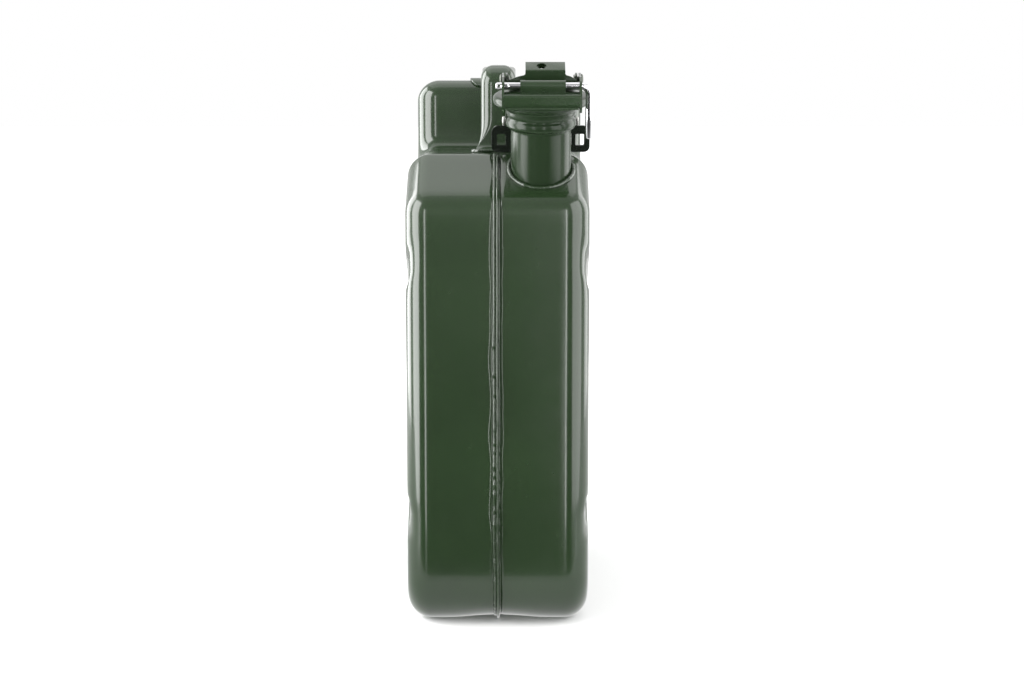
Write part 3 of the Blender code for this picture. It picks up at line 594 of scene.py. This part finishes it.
def box_outline(a0, a1, b0, b1, radius=0.0, steps=4):
    return fillet([(a0, b0, radius, steps, 0.0), (a1, b0, radius, steps, 0.0),
                   (a1, b1, radius, steps, 0.0), (a0, b1, radius, steps, 0.0)])


hardware_enamel = enamel_finish("hardware_enamel", (0.0132, 0.0270, 0.0104), 0.18, 0.4, 0.2)
# The saddle wears the can's green enamel; its near-black colour here is painted shade for the shadow
# under the cap and the dark it reflects.
saddle_painted_shade_enamel = enamel_finish("saddle_painted_shade_enamel", (0.0065, 0.0100, 0.0062), 0.18, 0.5)
BACK_LOW, BACK_HIGH, BACK_HALF = 6.6, 25.5, 34.5
bracket = plate("neck_saddle", fillet([
    (BACK_LOW, -BACK_HALF, 4.0, 6, 0.0), (BACK_HIGH, -BACK_HALF, 5.0, 7, 0.0),
    (BACK_HIGH, BACK_HALF, 5.0, 7, 0.0), (BACK_LOW, BACK_HALF, 4.0, 6, 0.0),
    (BACK_LOW, 15.0, 0.0, 0, 0.0), (11.0, 15.0, 2.0, 4, 0.0), (11.0, -15.0, 2.0, 4, 0.0),
    (BACK_LOW, -15.0, 0.0, 0, 0.0)]), 22.6, 24.2, "Y", saddle_painted_shade_enamel, "can")
wing_outline = fillet([(23.0, 12.0, 0.0, 0, 0.0), (34.0, 12.0, 3.0, 4, 0.0),
                       (36.5, 24.0, 3.0, 4, 0.0), (36.0, 32.5, 4.5, 7, 0.0),
                       (26.0, 32.5, 4.5, 7, 0.0), (23.0, 22.0, 0.0, 0, 0.0)])
for side in (-1.0, 1.0):
    reach = sorted((side * 19.5, side * 21.0))
    cut(bracket, plate("wing", wing_outline, *reach, "X", hardware_enamel, None), "UNION")
    window = box_outline(11.5, 19.5, *sorted((side * 24.5, side * 30.5)), 0.8)
    cut(bracket, plate("window", window, 20.0, 27.0, "Y", hardware_enamel, None))
drill(bracket, HINGE_Y, HINGE_Z, HINGE_HOLE)
break_edges(bracket)
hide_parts("neck_bracket")


def weld_run(name, centres, radius, material, body, place=None):
    """A short weld laid in ripples along a line of centres."""
    path = [Vector(c) for c in centres]
    points, loops = [], []
    steps = max(8, int((path[-1] - path[0]).length / 0.6))
    for k in range(steps + 1):
        t = k / steps * (len(path) - 1)
        spot = path[min(int(t), len(path) - 2)].lerp(path[min(int(t), len(path) - 2) + 1],
                                                     t - min(int(t), len(path) - 2))
        along = (path[-1] - path[0]).normalized()
        a = along.orthogonal().normalized()
        b = along.cross(a)
        taper = math.sqrt(max(0.03, 1.0 - (2.0 * k / steps - 1.0) ** 6))
        size = radius * taper * (1.0 + 0.12 * math.sin(k * 2.4) + 0.12 * wander(spot))
        loop = []
        for turn in range(12):
            angle = 2.0 * math.pi * turn / 12.0
            loop.append(len(points))
            points.append(spot + a * size * math.cos(angle) + b * size * math.sin(angle))
        loops.append(loop)
    faces = [[low[k], low[(k + 1) % 12], high[(k + 1) % 12], high[k]]
             for low, high in zip(loops, loops[1:]) for k in range(12)]
    faces += [loops[0][::-1], loops[-1]]
    return make_piece(name, points, faces, material, body, "green_enamel", place, 70.0)


for side, word in ((-1.0, "left"), (1.0, "right")):
    run = weld_run("saddle_weld_" + word, [(side * 9.4, 20.9, 12.0), (side * 9.4, 20.9, 24.4)],
                   1.75, weld_enamel, "can", NECK_PLACE)
    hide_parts("bracket_weld_" + word)
refinish("hinge_pin", zinc)


# ------------------------------------------------------------------ cap
# A round pressing with a domed crown and a turned-down rim, its two hinge arms drawn from the
# same sheet. A strap with two upright lugs is spot-welded over the crown for the lever.

LUG_IN, LUG_OUT = 22.9, 24.4
PIVOT_Y, PIVOT_Z = -2.0, 63.4
PIVOT_HOLE = 2.0
cap_profile = soften([
    (0.0001, 58.0), (8.0, 57.95), (14.0, 57.7), (19.0, 57.0), (22.8, 55.7), (25.6, 53.6),
    (27.6, 52.6), (30.2, 52.6), (32.1, 52.0), (33.2, 50.2), (33.2, 48.4), (32.5, 46.6),
    (31.6, 46.3), (31.1, 47.2), (31.4, 49.0), (31.2, 50.4), (30.4, 51.0), (27.0, 51.1),
    (24.5, 52.4), (22.0, 54.2), (18.5, 55.4), (12.0, 56.3), (0.0001, 56.5)], 2)
# The cap shares the neck's darker green, which is painted shade.
cap = make_piece("cap_pressing", *lathe(cap_profile, 144), neck_enamel_with_painted_shade, "cap",
                 "green_enamel", NECK_PLACE, 50.0)
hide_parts("lid")
arm_outline = fillet([(20.9, 47.2, 0.0, 0, 0.0), (26.6, 40.0, 6.0, 6, 0.0),
                      (26.0, 22.2, 4.6, 9, 0.0), (36.0, 22.2, 4.6, 9, 0.0),
                      (35.2, 44.0, 4.0, 6, 0.0), (31.5, 50.6, 3.0, 5, 0.0),
                      (20.9, 50.9, 0.0, 0, 0.0)])
for side, word in ((-1.0, "left"), (1.0, "right")):
    reach = sorted((side * LUG_IN, side * LUG_OUT))
    arm = plate("hinge_arm_" + word, arm_outline, *reach, "X", hardware_enamel, "cap")
    break_edges(drill(arm, HINGE_Y, HINGE_Z, HINGE_HOLE))

YOKE_LOW = 58.3
yoke = plate("crown_strap", box_outline(-LUG_OUT, LUG_OUT, -8.0, 5.0), YOKE_LOW, YOKE_LOW + 1.5,
             "Z", hardware_enamel, "cap")
lug_outline = fillet([(-8.0, YOKE_LOW, 0.0, 0, 0.0), (5.0, YOKE_LOW, 0.0, 0, 0.0),
                      (3.2, PIVOT_Z + 3.8, 4.0, 8, 0.0), (-7.2, PIVOT_Z + 3.8, 4.0, 8, 0.0)])
for side in (-1.0, 1.0):
    reach = sorted((side * LUG_IN, side * LUG_OUT))
    cut(yoke, plate("lug", lug_outline, *reach, "X", hardware_enamel, None), "UNION")
drill(yoke, PIVOT_Y, PIVOT_Z, PIVOT_HOLE)
break_edges(yoke)
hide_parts("lid_yoke")
dull_zinc = plated_finish("dull_zinc", (0.13, 0.14, 0.12), 0.42)
for word in ("left", "right"):
    refinish("lever_rivet_" + word, dull_zinc)


# ------------------------------------------------------------------ seal
# A black fuel-proof rubber ring sits in the cap, held by a dished zinc-plated washer that one
# rivet clamps through the crown.

def rubber_finish(name):
    material = bpy.data.materials.new(name)
    material.use_nodes = True
    nodes, links = material.node_tree.nodes, material.node_tree.links
    shader = nodes["Principled BSDF"]
    where = nodes.new("ShaderNodeTexCoord")
    bloom = nodes.new("ShaderNodeTexNoise")
    bloom.inputs["Scale"].default_value = 120.0
    bloom.inputs["Detail"].default_value = 6.0
    links.new(where.outputs["Object"], bloom.inputs["Vector"])
    tint = nodes.new("ShaderNodeValToRGB")
    tint.color_ramp.elements[0].color = (0.010, 0.010, 0.010, 1.0)
    tint.color_ramp.elements[1].color = (0.028, 0.028, 0.027, 1.0)
    links.new(bloom.outputs["Fac"], tint.inputs["Fac"])
    links.new(tint.outputs["Color"], shader.inputs["Base Color"])
    gloss = nodes.new("ShaderNodeMapRange")
    gloss.inputs["To Min"].default_value = 0.5
    gloss.inputs["To Max"].default_value = 0.85
    links.new(bloom.outputs["Fac"], gloss.inputs["Value"])
    links.new(gloss.outputs["Result"], shader.inputs["Roughness"])
    skin = nodes.new("ShaderNodeBump")
    skin.inputs["Strength"].default_value = 0.3
    skin.inputs["Distance"].default_value = 0.0001
    links.new(bloom.outputs["Fac"], skin.inputs["Height"])
    links.new(skin.outputs["Normal"], shader.inputs["Normal"])
    return material


rubber = rubber_finish("seal_rubber")
seal_profile = soften([(18.6, 46.2), (24.0, 46.2), (29.6, 46.2), (30.3, 46.9), (30.3, 49.6),
                       (29.6, 50.3), (18.6, 50.3), (18.4, 48.0)], 2)
seal = make_piece("seal_ring", *lathe(seal_profile, 96), rubber, "cap", "black_rubber",
                  NECK_PLACE, 60.0)
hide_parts("gasket")
washer_profile = soften([(3.0, 50.4), (15.6, 50.4), (18.2, 47.4), (18.2, 45.9), (19.2, 45.9),
                         (19.2, 44.8), (17.2, 44.8), (14.6, 49.2), (3.0, 49.2)], 2)
washer = make_piece("seal_washer", *lathe(washer_profile, 96), zinc, "cap", "zinc_steel",
                    NECK_PLACE, 50.0)
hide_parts("gasket_retainer")
refinish("retainer_rivet", zinc)


# ------------------------------------------------------------------ locking lever
# One stamping of steel a millimetre and a half thick: two ears ride outside the cap's lugs and
# carry a channel in front, a rolled knuckle for the safety pin and an upright thumb tab with a
# punched hole.

EAR_IN, EAR_OUT = 25.3, 26.8
PIN_Y, PIN_Z = -24.0, 63.0
PIN_HOLE = 2.7
lever = plate("lever_channel", fillet([
    (-35.6, 50.0, 1.0, 4, 0.0), (-33.9, 50.0, 0.5, 2, 0.0), (-34.1, 57.3, 0.6, 3, 0.0),
    (-26.2, 58.0, 0.4, 2, 0.0), (-26.2, 59.4, 0.4, 2, 0.0), (-35.3, 59.0, 2.0, 6, 0.0)]),
    -EAR_IN - 0.5, EAR_IN + 0.5, "X", hardware_enamel, "lever_arm")
ear_outline = fillet([
    (-36.4, 48.6, 3.0, 6, 0.0), (-30.0, 45.6, 3.5, 6, 0.0), (-23.6, 48.0, 3.0, 6, 0.0),
    (-19.0, 57.0, 6.0, 6, 0.0), (-4.0, 58.6, 2.0, 4, 0.0), (2.4, 59.6, 3.5, 7, 0.0),
    (2.2, 67.4, 3.5, 7, 0.0), (-10.0, 67.4, 2.0, 4, 0.0), (-20.0, 68.4, 3.0, 6, 0.0),
    (-29.6, 67.2, 4.0, 7, 0.0), (-34.6, 58.0, 3.0, 4, 0.0)])
for side in (-1.0, 1.0):
    reach = sorted((side * EAR_IN, side * EAR_OUT))
    cut(lever, plate("ear", ear_outline, *reach, "X", hardware_enamel, None), "UNION")
knuckle = plate("knuckle", fillet([
    (-28.1, 58.4, 0.0, 0, 0.0), (-26.2, 58.4, 0.0, 0, 0.0), (-26.2, 59.1, 0.0, 0, 0.0),
    (-20.1, 59.1, 3.6, 9, 0.0), (-20.1, 67.0, 3.9, 9, 0.0), (-28.1, 67.0, 3.9, 9, 0.0)]),
    -14.5, 16.0, "X", hardware_enamel, None)
cut(lever, knuckle, "UNION")
mouth_roll = plate("fold", fillet([
    (-36.6, 49.2, 0.7, 4, 0.0), (-35.1, 49.2, 0.7, 4, 0.0), (-35.1, 50.8, 0.7, 4, 0.0),
    (-36.6, 50.8, 0.7, 4, 0.0)]), -EAR_IN + 1.0, EAR_IN - 1.0, "X", hardware_enamel, None)
cut(lever, mouth_roll, "UNION")
tab = plate("tab", fillet([
    (58.6, -EAR_IN - 0.4, 0.0, 0, 0.0), (64.2, -EAR_IN - 0.4, 5.0, 6, 0.0),
    (67.6, -15.5, 7.0, 6, 0.0), (68.6, -11.0, 1.5, 4, 0.0), (71.4, -11.0, 0.0, 0, 0.0),
    (71.4, 16.0, 0.0, 0, 0.0), (68.6, 16.0, 1.5, 4, 0.0), (67.6, 19.5, 4.0, 6, 0.0),
    (64.2, EAR_IN + 0.4, 5.0, 6, 0.0), (58.6, EAR_IN + 0.4, 0.0, 0, 0.0)]),
    -15.2, -13.7, "Y", hardware_enamel, None)
cut(lever, tab, "UNION")
lip = plate("lip", fillet([
    (-15.2, 70.3, 0.0, 0, 0.0), (-13.9, 69.8, 0.0, 0, 0.0), (-5.0, 74.6, 0.4, 3, 0.0),
    (-5.6, 75.9, 0.4, 3, 0.0), (-15.2, 72.0, 1.0, 4, 0.0)]), -10.9, 15.9, "X",
    hardware_enamel, None)
cut(lever, lip, "UNION")
eye_points, eye_faces = lathe([(0.0, -8.0), (3.3, -8.0), (3.3, 8.0), (0.0, 8.0)], 40)
eye_place = NECK_PLACE @ Matrix.Translation((0.0, -10.0, 73.0)) @ Matrix.Rotation(
    math.radians(25.0), 4, "X")
cut(lever, make_piece("eye", eye_points, eye_faces, can_enamel, None, None, eye_place))
make_piece("eye_collar", *lathe([(3.3, -3.4), (4.2, -3.4), (4.2, 0.3), (3.3, 0.3)], 40),
           hardware_enamel, "lever_arm", "green_enamel", eye_place)
drill(lever, PIN_Y, PIN_Z, PIN_HOLE)
drill(lever, PIVOT_Y, PIVOT_Z, PIVOT_HOLE)
break_edges(lever)
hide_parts("lever")


# ------------------------------------------------------------------ safety pin
# Bright chrome-plated rod, bent to an L. It slides through the ears and the knuckle; its point
# is chamfered and carries a small cross-drilled hole, and its leg hangs beside the cap.

chrome = plated_finish("pin_chrome", (0.80, 0.80, 0.82), 0.12, grain=500.0)
PIN_RADIUS = 2.4
BEND, LEG_X, LEG_END = 6.0, 31.8, -36.0
ROD_SIDES = 32
rod = [(-31.0, 0.0, 1.5), (-30.6, 0.0, 2.1), (-29.9, 0.0, PIN_RADIUS), (-20.0, 0.0, PIN_RADIUS),
       (0.0, 0.0, PIN_RADIUS), (15.0, 0.0, PIN_RADIUS), (LEG_X - BEND, 0.0, PIN_RADIUS)]
for step in range(1, 13):
    angle = math.pi / 2.0 * step / 12.0
    rod.append((LEG_X - BEND + BEND * math.sin(angle), BEND * (math.cos(angle) - 1.0),
                PIN_RADIUS))
rod += [(LEG_X, -20.0, PIN_RADIUS), (LEG_X, LEG_END + 0.9, PIN_RADIUS),
        (LEG_X, LEG_END + 0.2, 2.0), (LEG_X, LEG_END, 1.3)]
rod_points, rod_loops = [], []
for k, (x, z, size) in enumerate(rod):
    before, after = rod[max(k - 1, 0)], rod[min(k + 1, len(rod) - 1)]
    along = Vector((after[0] - before[0], 0.0, after[1] - before[1])).normalized()
    over = Vector((-along.z, 0.0, along.x))
    loop = []
    for turn in range(ROD_SIDES):
        angle = 2.0 * math.pi * turn / ROD_SIDES
        loop.append(len(rod_points))
        rod_points.append(Vector((x, 0.0, z)) + over * size * math.cos(angle)
                          + Vector((0.0, size * math.sin(angle), 0.0)))
    rod_loops.append(loop)
rod_faces = [[low[k], low[(k + 1) % ROD_SIDES], high[(k + 1) % ROD_SIDES], high[k]]
             for low, high in zip(rod_loops, rod_loops[1:]) for k in range(ROD_SIDES)]
rod_faces += [rod_loops[0][::-1], rod_loops[-1]]
pin = make_piece("chrome_pin", rod_points, rod_faces, chrome, "pin", "bright_chrome",
                 NECK_PLACE @ Matrix.Translation((0.0, PIN_Y, PIN_Z)), 40.0)
bore_points, bore_faces = lathe([(0.0, -5.0), (0.8, -5.0), (0.8, 5.0), (0.0, 5.0)], 20)
bore_place = NECK_PLACE @ Matrix.Translation((-28.6, PIN_Y, PIN_Z)) @ Matrix.Rotation(
    math.radians(80.0), 4, "X")
cut(pin, make_piece("bore", bore_points, bore_faces, chrome, None, None, bore_place))
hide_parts("safety_pin")


# ------------------------------------------------------------------ handle
# A strap of sheet steel with its long edges rolled in for the hand. Its front foot opens out
# flat on the seam behind the filler; its rear end lies on a doubler over the air chamber's edge.

STRAP_HALF, STRAP = 12.7, 1.5
LIP = 1.9
ROLLED = 10.5
CORNER, CORNER_DROP = 9.2, 7.5
LEG_Y = 100.0
HANDLE_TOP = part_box("handle")[1].z / MM
DOUBLER = 2.1


def strap_line():
    """(y, z) of the strap's outer face from the front foot to the rear end."""
    foot = BODY_TOP + 0.6 + LIP
    inner, outer = 6.0, 15.0
    line = [(LEG_Y - 17.0, foot), (LEG_Y - 14.0, foot), (LEG_Y - 11.0, foot), (LEG_Y - 8.0, foot)]
    for step in range(9):
        angle = math.pi / 2.0 * step / 8.0
        line.append((LEG_Y - inner + inner * math.sin(angle),
                     foot + inner * (1.0 - math.cos(angle))))
    for step in range(1, 8):
        line.append((LEG_Y, foot + inner + (HANDLE_TOP - outer - foot - inner) * step / 8.0))
    for step in range(13):
        angle = math.pi / 2.0 * step / 12.0
        line.append((LEG_Y + outer * (1.0 - math.cos(angle)),
                     HANDLE_TOP - outer * (1.0 - math.sin(angle))))
    rear = HUMP_TOP + DOUBLER + 0.3 + LIP
    for step in range(1, 13):
        line.append((LEG_Y + outer + (HUMP_FRONT - 12.0 - LEG_Y - outer) * step / 12.0,
                     HANDLE_TOP))
    for step in range(1, 13):
        t = step / 12.0
        line.append((HUMP_FRONT - 12.0 + 30.0 * t,
                     HANDLE_TOP - (HANDLE_TOP - rear) * ease(0.0, 1.0, t)))
    for y in (24.0, 30.0, 36.0, 42.0, 44.5, 46.0):
        line.append((HUMP_FRONT + y, rear))
    return [Vector(p) for p in line]


def strap_section(half, corner, depth):
    """Across the strap: outer face with rolled edges, then back along the inner face."""
    section = []
    for offset in (0.0, STRAP):
        edge, radius = half - offset, max(corner - offset, 0.15)
        arc = [(-edge, depth - (0.25 if offset else 0.0)), (-edge, (depth + corner) / 2.0)]
        for step in range(8):
            angle = math.pi / 2.0 * step / 7.0
            arc.append((-edge + radius * (1.0 - math.cos(angle)),
                        offset + radius * (1.0 - math.sin(angle))))
        arc += [(-(edge - radius) * share, offset) for share in (0.66, 0.33)]
        arc += [(0.0, offset)] + [(-x, down) for x, down in reversed(arc)]
        section += arc if offset == 0.0 else arc[::-1]
    return section


line = strap_line()
lengths = [0.0]
for a, b in zip(line, line[1:]):
    lengths.append(lengths[-1] + (b - a).length)
strap_points, strap_loops = [], []
for k, spot in enumerate(line):
    along = (line[min(k + 1, len(line) - 1)] - line[max(k - 1, 0)]).normalized()
    inward = Vector((along.y, -along.x))
    front, rear = lengths[k], lengths[-1] - lengths[k]
    flat = max(1.0 - ease(18.0, 34.0, front), 1.0 - ease(50.0, 76.0, rear))
    half = STRAP_HALF + 7.0 * (1.0 - ease(6.0, 24.0, front))
    half -= 5.0 * (1.0 - math.sqrt(min(1.0, front / 6.0))) if front < 6.0 else 0.0
    half -= 4.0 * (1.0 - math.sqrt(min(1.0, rear / 5.0))) if rear < 5.0 else 0.0
    loop = []
    for x, down in strap_section(half, CORNER - CORNER_DROP * flat, ROLLED + (LIP - ROLLED) * flat):
        loop.append(len(strap_points))
        place = spot + inward * down
        strap_points.append((x, place.x + FRONT_Y, place.y))
    strap_loops.append(loop)
width = len(strap_loops[0])
strap_faces = [[low[k], low[(k + 1) % width], high[(k + 1) % width], high[k]]
               for low, high in zip(strap_loops, strap_loops[1:]) for k in range(width)]
for loop in (strap_loops[0], strap_loops[-1]):
    strap_faces += [[loop[k], loop[width - 1 - k], loop[width - 2 - k], loop[k + 1]]
                    for k in range(width // 2 - 1)]
strap = make_piece("strap_handle", strap_points, strap_faces, can_enamel, "can", "green_enamel",
                   sharp=50.0)
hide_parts("handle")

doubler_points, doubler_loops = [], []
EDGE_RADIUS, LIFT = 14.0, 0.45
for step in range(25):
    t = step / 24.0
    if t < 0.4:
        angle = math.radians(37.0 + 53.0 * t / 0.4)
        spot = Vector((HUMP_FRONT + EDGE_RADIUS - (EDGE_RADIUS + LIFT) * math.cos(angle),
                       HUMP_TOP - EDGE_RADIUS + (EDGE_RADIUS + LIFT) * math.sin(angle)))
        outward = Vector((-math.cos(angle), math.sin(angle)))
    else:
        spot = Vector((HUMP_FRONT + EDGE_RADIUS + 39.0 * (t - 0.4) / 0.6, HUMP_TOP + LIFT))
        outward = Vector((0.0, 1.0))
    front_round = math.sqrt(max(0.0, 1.0 - (1.0 - min(1.0, t / 0.42)) ** 2))
    rear_round = math.sqrt(max(0.0, 1.0 - (1.0 - min(1.0, (1.0 - t) / 0.2)) ** 2))
    half = (14.0 + 8.5 * front_round) * (0.35 + 0.65 * rear_round)
    loop = []
    for x, rise in ((-half, 0.0), (0.0, 0.0), (half, 0.0), (half, 1.1), (half - 0.4, 1.5),
                    (0.0, 1.5), (-half + 0.4, 1.5), (-half, 1.1)):
        place = spot + outward * rise
        loop.append(len(doubler_points))
        doubler_points.append((x, place.x + FRONT_Y, place.y))
    doubler_loops.append(loop)
doubler_faces = [[low[k], low[(k + 1) % 8], high[(k + 1) % 8], high[k]]
                 for low, high in zip(doubler_loops, doubler_loops[1:]) for k in range(8)]
doubler_faces += [doubler_loops[0][::-1], doubler_loops[-1]]
doubler = make_piece("handle_doubler", doubler_points, doubler_faces, can_enamel, "can",
                     "green_enamel", sharp=50.0)
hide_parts("handle_rear_plate")

front_weld = weld_run("handle_weld_front",
                      [(-15.0, FRONT_Y + LEG_Y - 18.2, BODY_TOP + 1.3),
                       (15.0, FRONT_Y + LEG_Y - 18.2, BODY_TOP + 1.3)],
                      1.25, weld_enamel, "can")
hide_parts("handle_front_weld")
rear_weld = weld_run("handle_weld_rear",
                     [(-9.0, FRONT_Y + HUMP_FRONT + 47.0, HUMP_TOP + DOUBLER + 1.2),
                      (9.0, FRONT_Y + HUMP_FRONT + 47.0, HUMP_TOP + DOUBLER + 1.2)],
                     1.2, weld_enamel, "can")
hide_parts("handle_rear_weld")


# ------------------------------------------------------------------ floor, light and camera
# White paper under soft studio light: large panels at the sides, a narrow strip on each side for
# the lines along the can's front corners, and one overhead. The room is dim in front and bright
# behind, and a nearer sheet of paper shows only in the can's gloss.

FLOOR = 30.0
paper = bpy.data.materials.new("white_paper")
paper.use_nodes = True
paper_shader = paper.node_tree.nodes["Principled BSDF"]
paper_shader.inputs["Base Color"].default_value = (0.86, 0.86, 0.86, 1.0)
paper_shader.inputs["Roughness"].default_value = 0.8
paper_shader.inputs["Specular IOR Level"].default_value = 0.1
paper_shader.inputs["Emission Color"].default_value = (1.0, 1.0, 1.0, 1.0)
near_paper = paper.copy()
near_paper.node_tree.nodes["Principled BSDF"].inputs["Emission Strength"].default_value = 0.55
spot = paper.node_tree.nodes.new("ShaderNodeTexCoord")
reach = paper.node_tree.nodes.new("ShaderNodeVectorMath")
reach.operation = "LENGTH"
lift = paper.node_tree.nodes.new("ShaderNodeMapRange")
lift.inputs["From Min"].default_value = 0.15
lift.inputs["From Max"].default_value = 1.3
lift.inputs["To Min"].default_value = 0.03
lift.inputs["To Max"].default_value = 0.70
paper.node_tree.links.new(spot.outputs["Object"], reach.inputs[0])
paper.node_tree.links.new(reach.outputs["Value"], lift.inputs["Value"])
paper.node_tree.links.new(lift.outputs["Result"], paper_shader.inputs["Emission Strength"])


def sheet_of_paper(name, low, high, level, look):
    mesh = bpy.data.meshes.new(name)
    mesh.from_pydata([(low[0], low[1], level), (high[0], low[1], level),
                      (high[0], high[1], level), (low[0], high[1], level)], [], [[0, 1, 2, 3]])
    mesh.materials.append(look)
    sheet = bpy.data.objects.new(name, mesh)
    bpy.context.scene.collection.objects.link(sheet)
    return sheet


floor = sheet_of_paper("floor", (-FLOOR, -FLOOR), (FLOOR, FLOOR), -0.0002, paper)
floor.visible_glossy = False
near_floor = sheet_of_paper("near_floor", (-0.9, -0.27), (0.9, 1.2), -0.0004,
                            near_paper)
near_floor.visible_camera = False
near_floor.visible_diffuse = False

world = bpy.data.worlds.new("studio")
bpy.context.scene.world = world
world.use_nodes = True
sky_nodes, sky_links = world.node_tree.nodes, world.node_tree.links
sky_nodes.clear()
aim = sky_nodes.new("ShaderNodeTexCoord")
split = sky_nodes.new("ShaderNodeSeparateXYZ")
sky_links.new(aim.outputs["Generated"], split.inputs["Vector"])
front = sky_nodes.new("ShaderNodeMapRange")
front.inputs["From Min"].default_value = -0.16
front.inputs["From Max"].default_value = 0.08
front.inputs["To Min"].default_value = 0.05
front.inputs["To Max"].default_value = 0.50
sky_links.new(split.outputs["Z"], front.inputs["Value"])
around = sky_nodes.new("ShaderNodeMapRange")
around.interpolation_type = "SMOOTHSTEP"
around.inputs["From Min"].default_value = -0.80
around.inputs["From Max"].default_value = 0.10
around.inputs["To Max"].default_value = 0.95
sky_links.new(split.outputs["Y"], around.inputs["Value"])
sky_links.new(front.outputs["Result"], around.inputs["To Min"])
sky = sky_nodes.new("ShaderNodeBackground")
sky.inputs["Color"].default_value = (1.0, 1.0, 1.0, 1.0)
sky_links.new(around.outputs["Result"], sky.inputs["Strength"])
plain = sky_nodes.new("ShaderNodeBackground")
plain.inputs["Color"].default_value = (1.0, 1.0, 1.0, 1.0)
path = sky_nodes.new("ShaderNodeLightPath")
choose = sky_nodes.new("ShaderNodeMixShader")
sky_links.new(path.outputs["Is Camera Ray"], choose.inputs["Fac"])
sky_links.new(sky.outputs["Background"], choose.inputs[1])
sky_links.new(plain.outputs["Background"], choose.inputs[2])
sky_out = sky_nodes.new("ShaderNodeOutputWorld")
sky_links.new(choose.outputs["Shader"], sky_out.inputs["Surface"])


def soft_panel(name, azimuth, distance, height, width, tall, radiance):
    """A panel aimed at the can; azimuth counts from the front towards the can's right."""
    light = bpy.data.lights.new(name, "AREA")
    light.shape = "RECTANGLE"
    light.size, light.size_y = width, tall
    light.energy = radiance * math.pi * width * tall
    panel = bpy.data.objects.new(name, light)
    turn = math.radians(azimuth)
    panel.location = (distance * math.sin(turn), -distance * math.cos(turn), height)
    towards = Vector((0.0, 0.0, 0.22)) - panel.location
    panel.rotation_euler = towards.to_track_quat("-Z", "Y").to_euler()
    panel.visible_camera = False
    bpy.context.scene.collection.objects.link(panel)
    return panel


soft_panel("panel_left", -66.4, 1.3, 0.55, 0.82, 1.6, 7.8)
soft_panel("panel_left_rear", -113.4, 1.3, 0.55, 0.78, 1.6, 6.6)
soft_panel("panel_right", 56.0, 1.3, 0.55, 1.20, 1.6, 3.2)
soft_panel("panel_right_rear", 114.0, 1.3, 0.55, 0.75, 1.6, 3.0)
soft_panel("strip_left", -23.0, 2.2, 0.35, 0.24, 1.5, 6.5)
soft_panel("strip_right", 9.0, 2.2, 0.35, 0.16, 1.5, 8.5)
soft_panel("panel_top", 180.0, 0.35, 1.7, 1.8, 1.4, 0.72)

camera_data = bpy.data.cameras.new("camera")
camera_data.lens = 67.3
camera_data.sensor_width = 36.0
camera = bpy.data.objects.new("camera", camera_data)
bpy.context.scene.collection.objects.link(camera)
camera.location = (0.010, FRONT_Y * MM - 1.30, 0.362)
camera.rotation_euler = (math.radians(90.0 - 7.0), 0.0, 0.0)
bpy.context.scene.camera = camera
bpy.context.scene.view_settings.view_transform = "Standard"
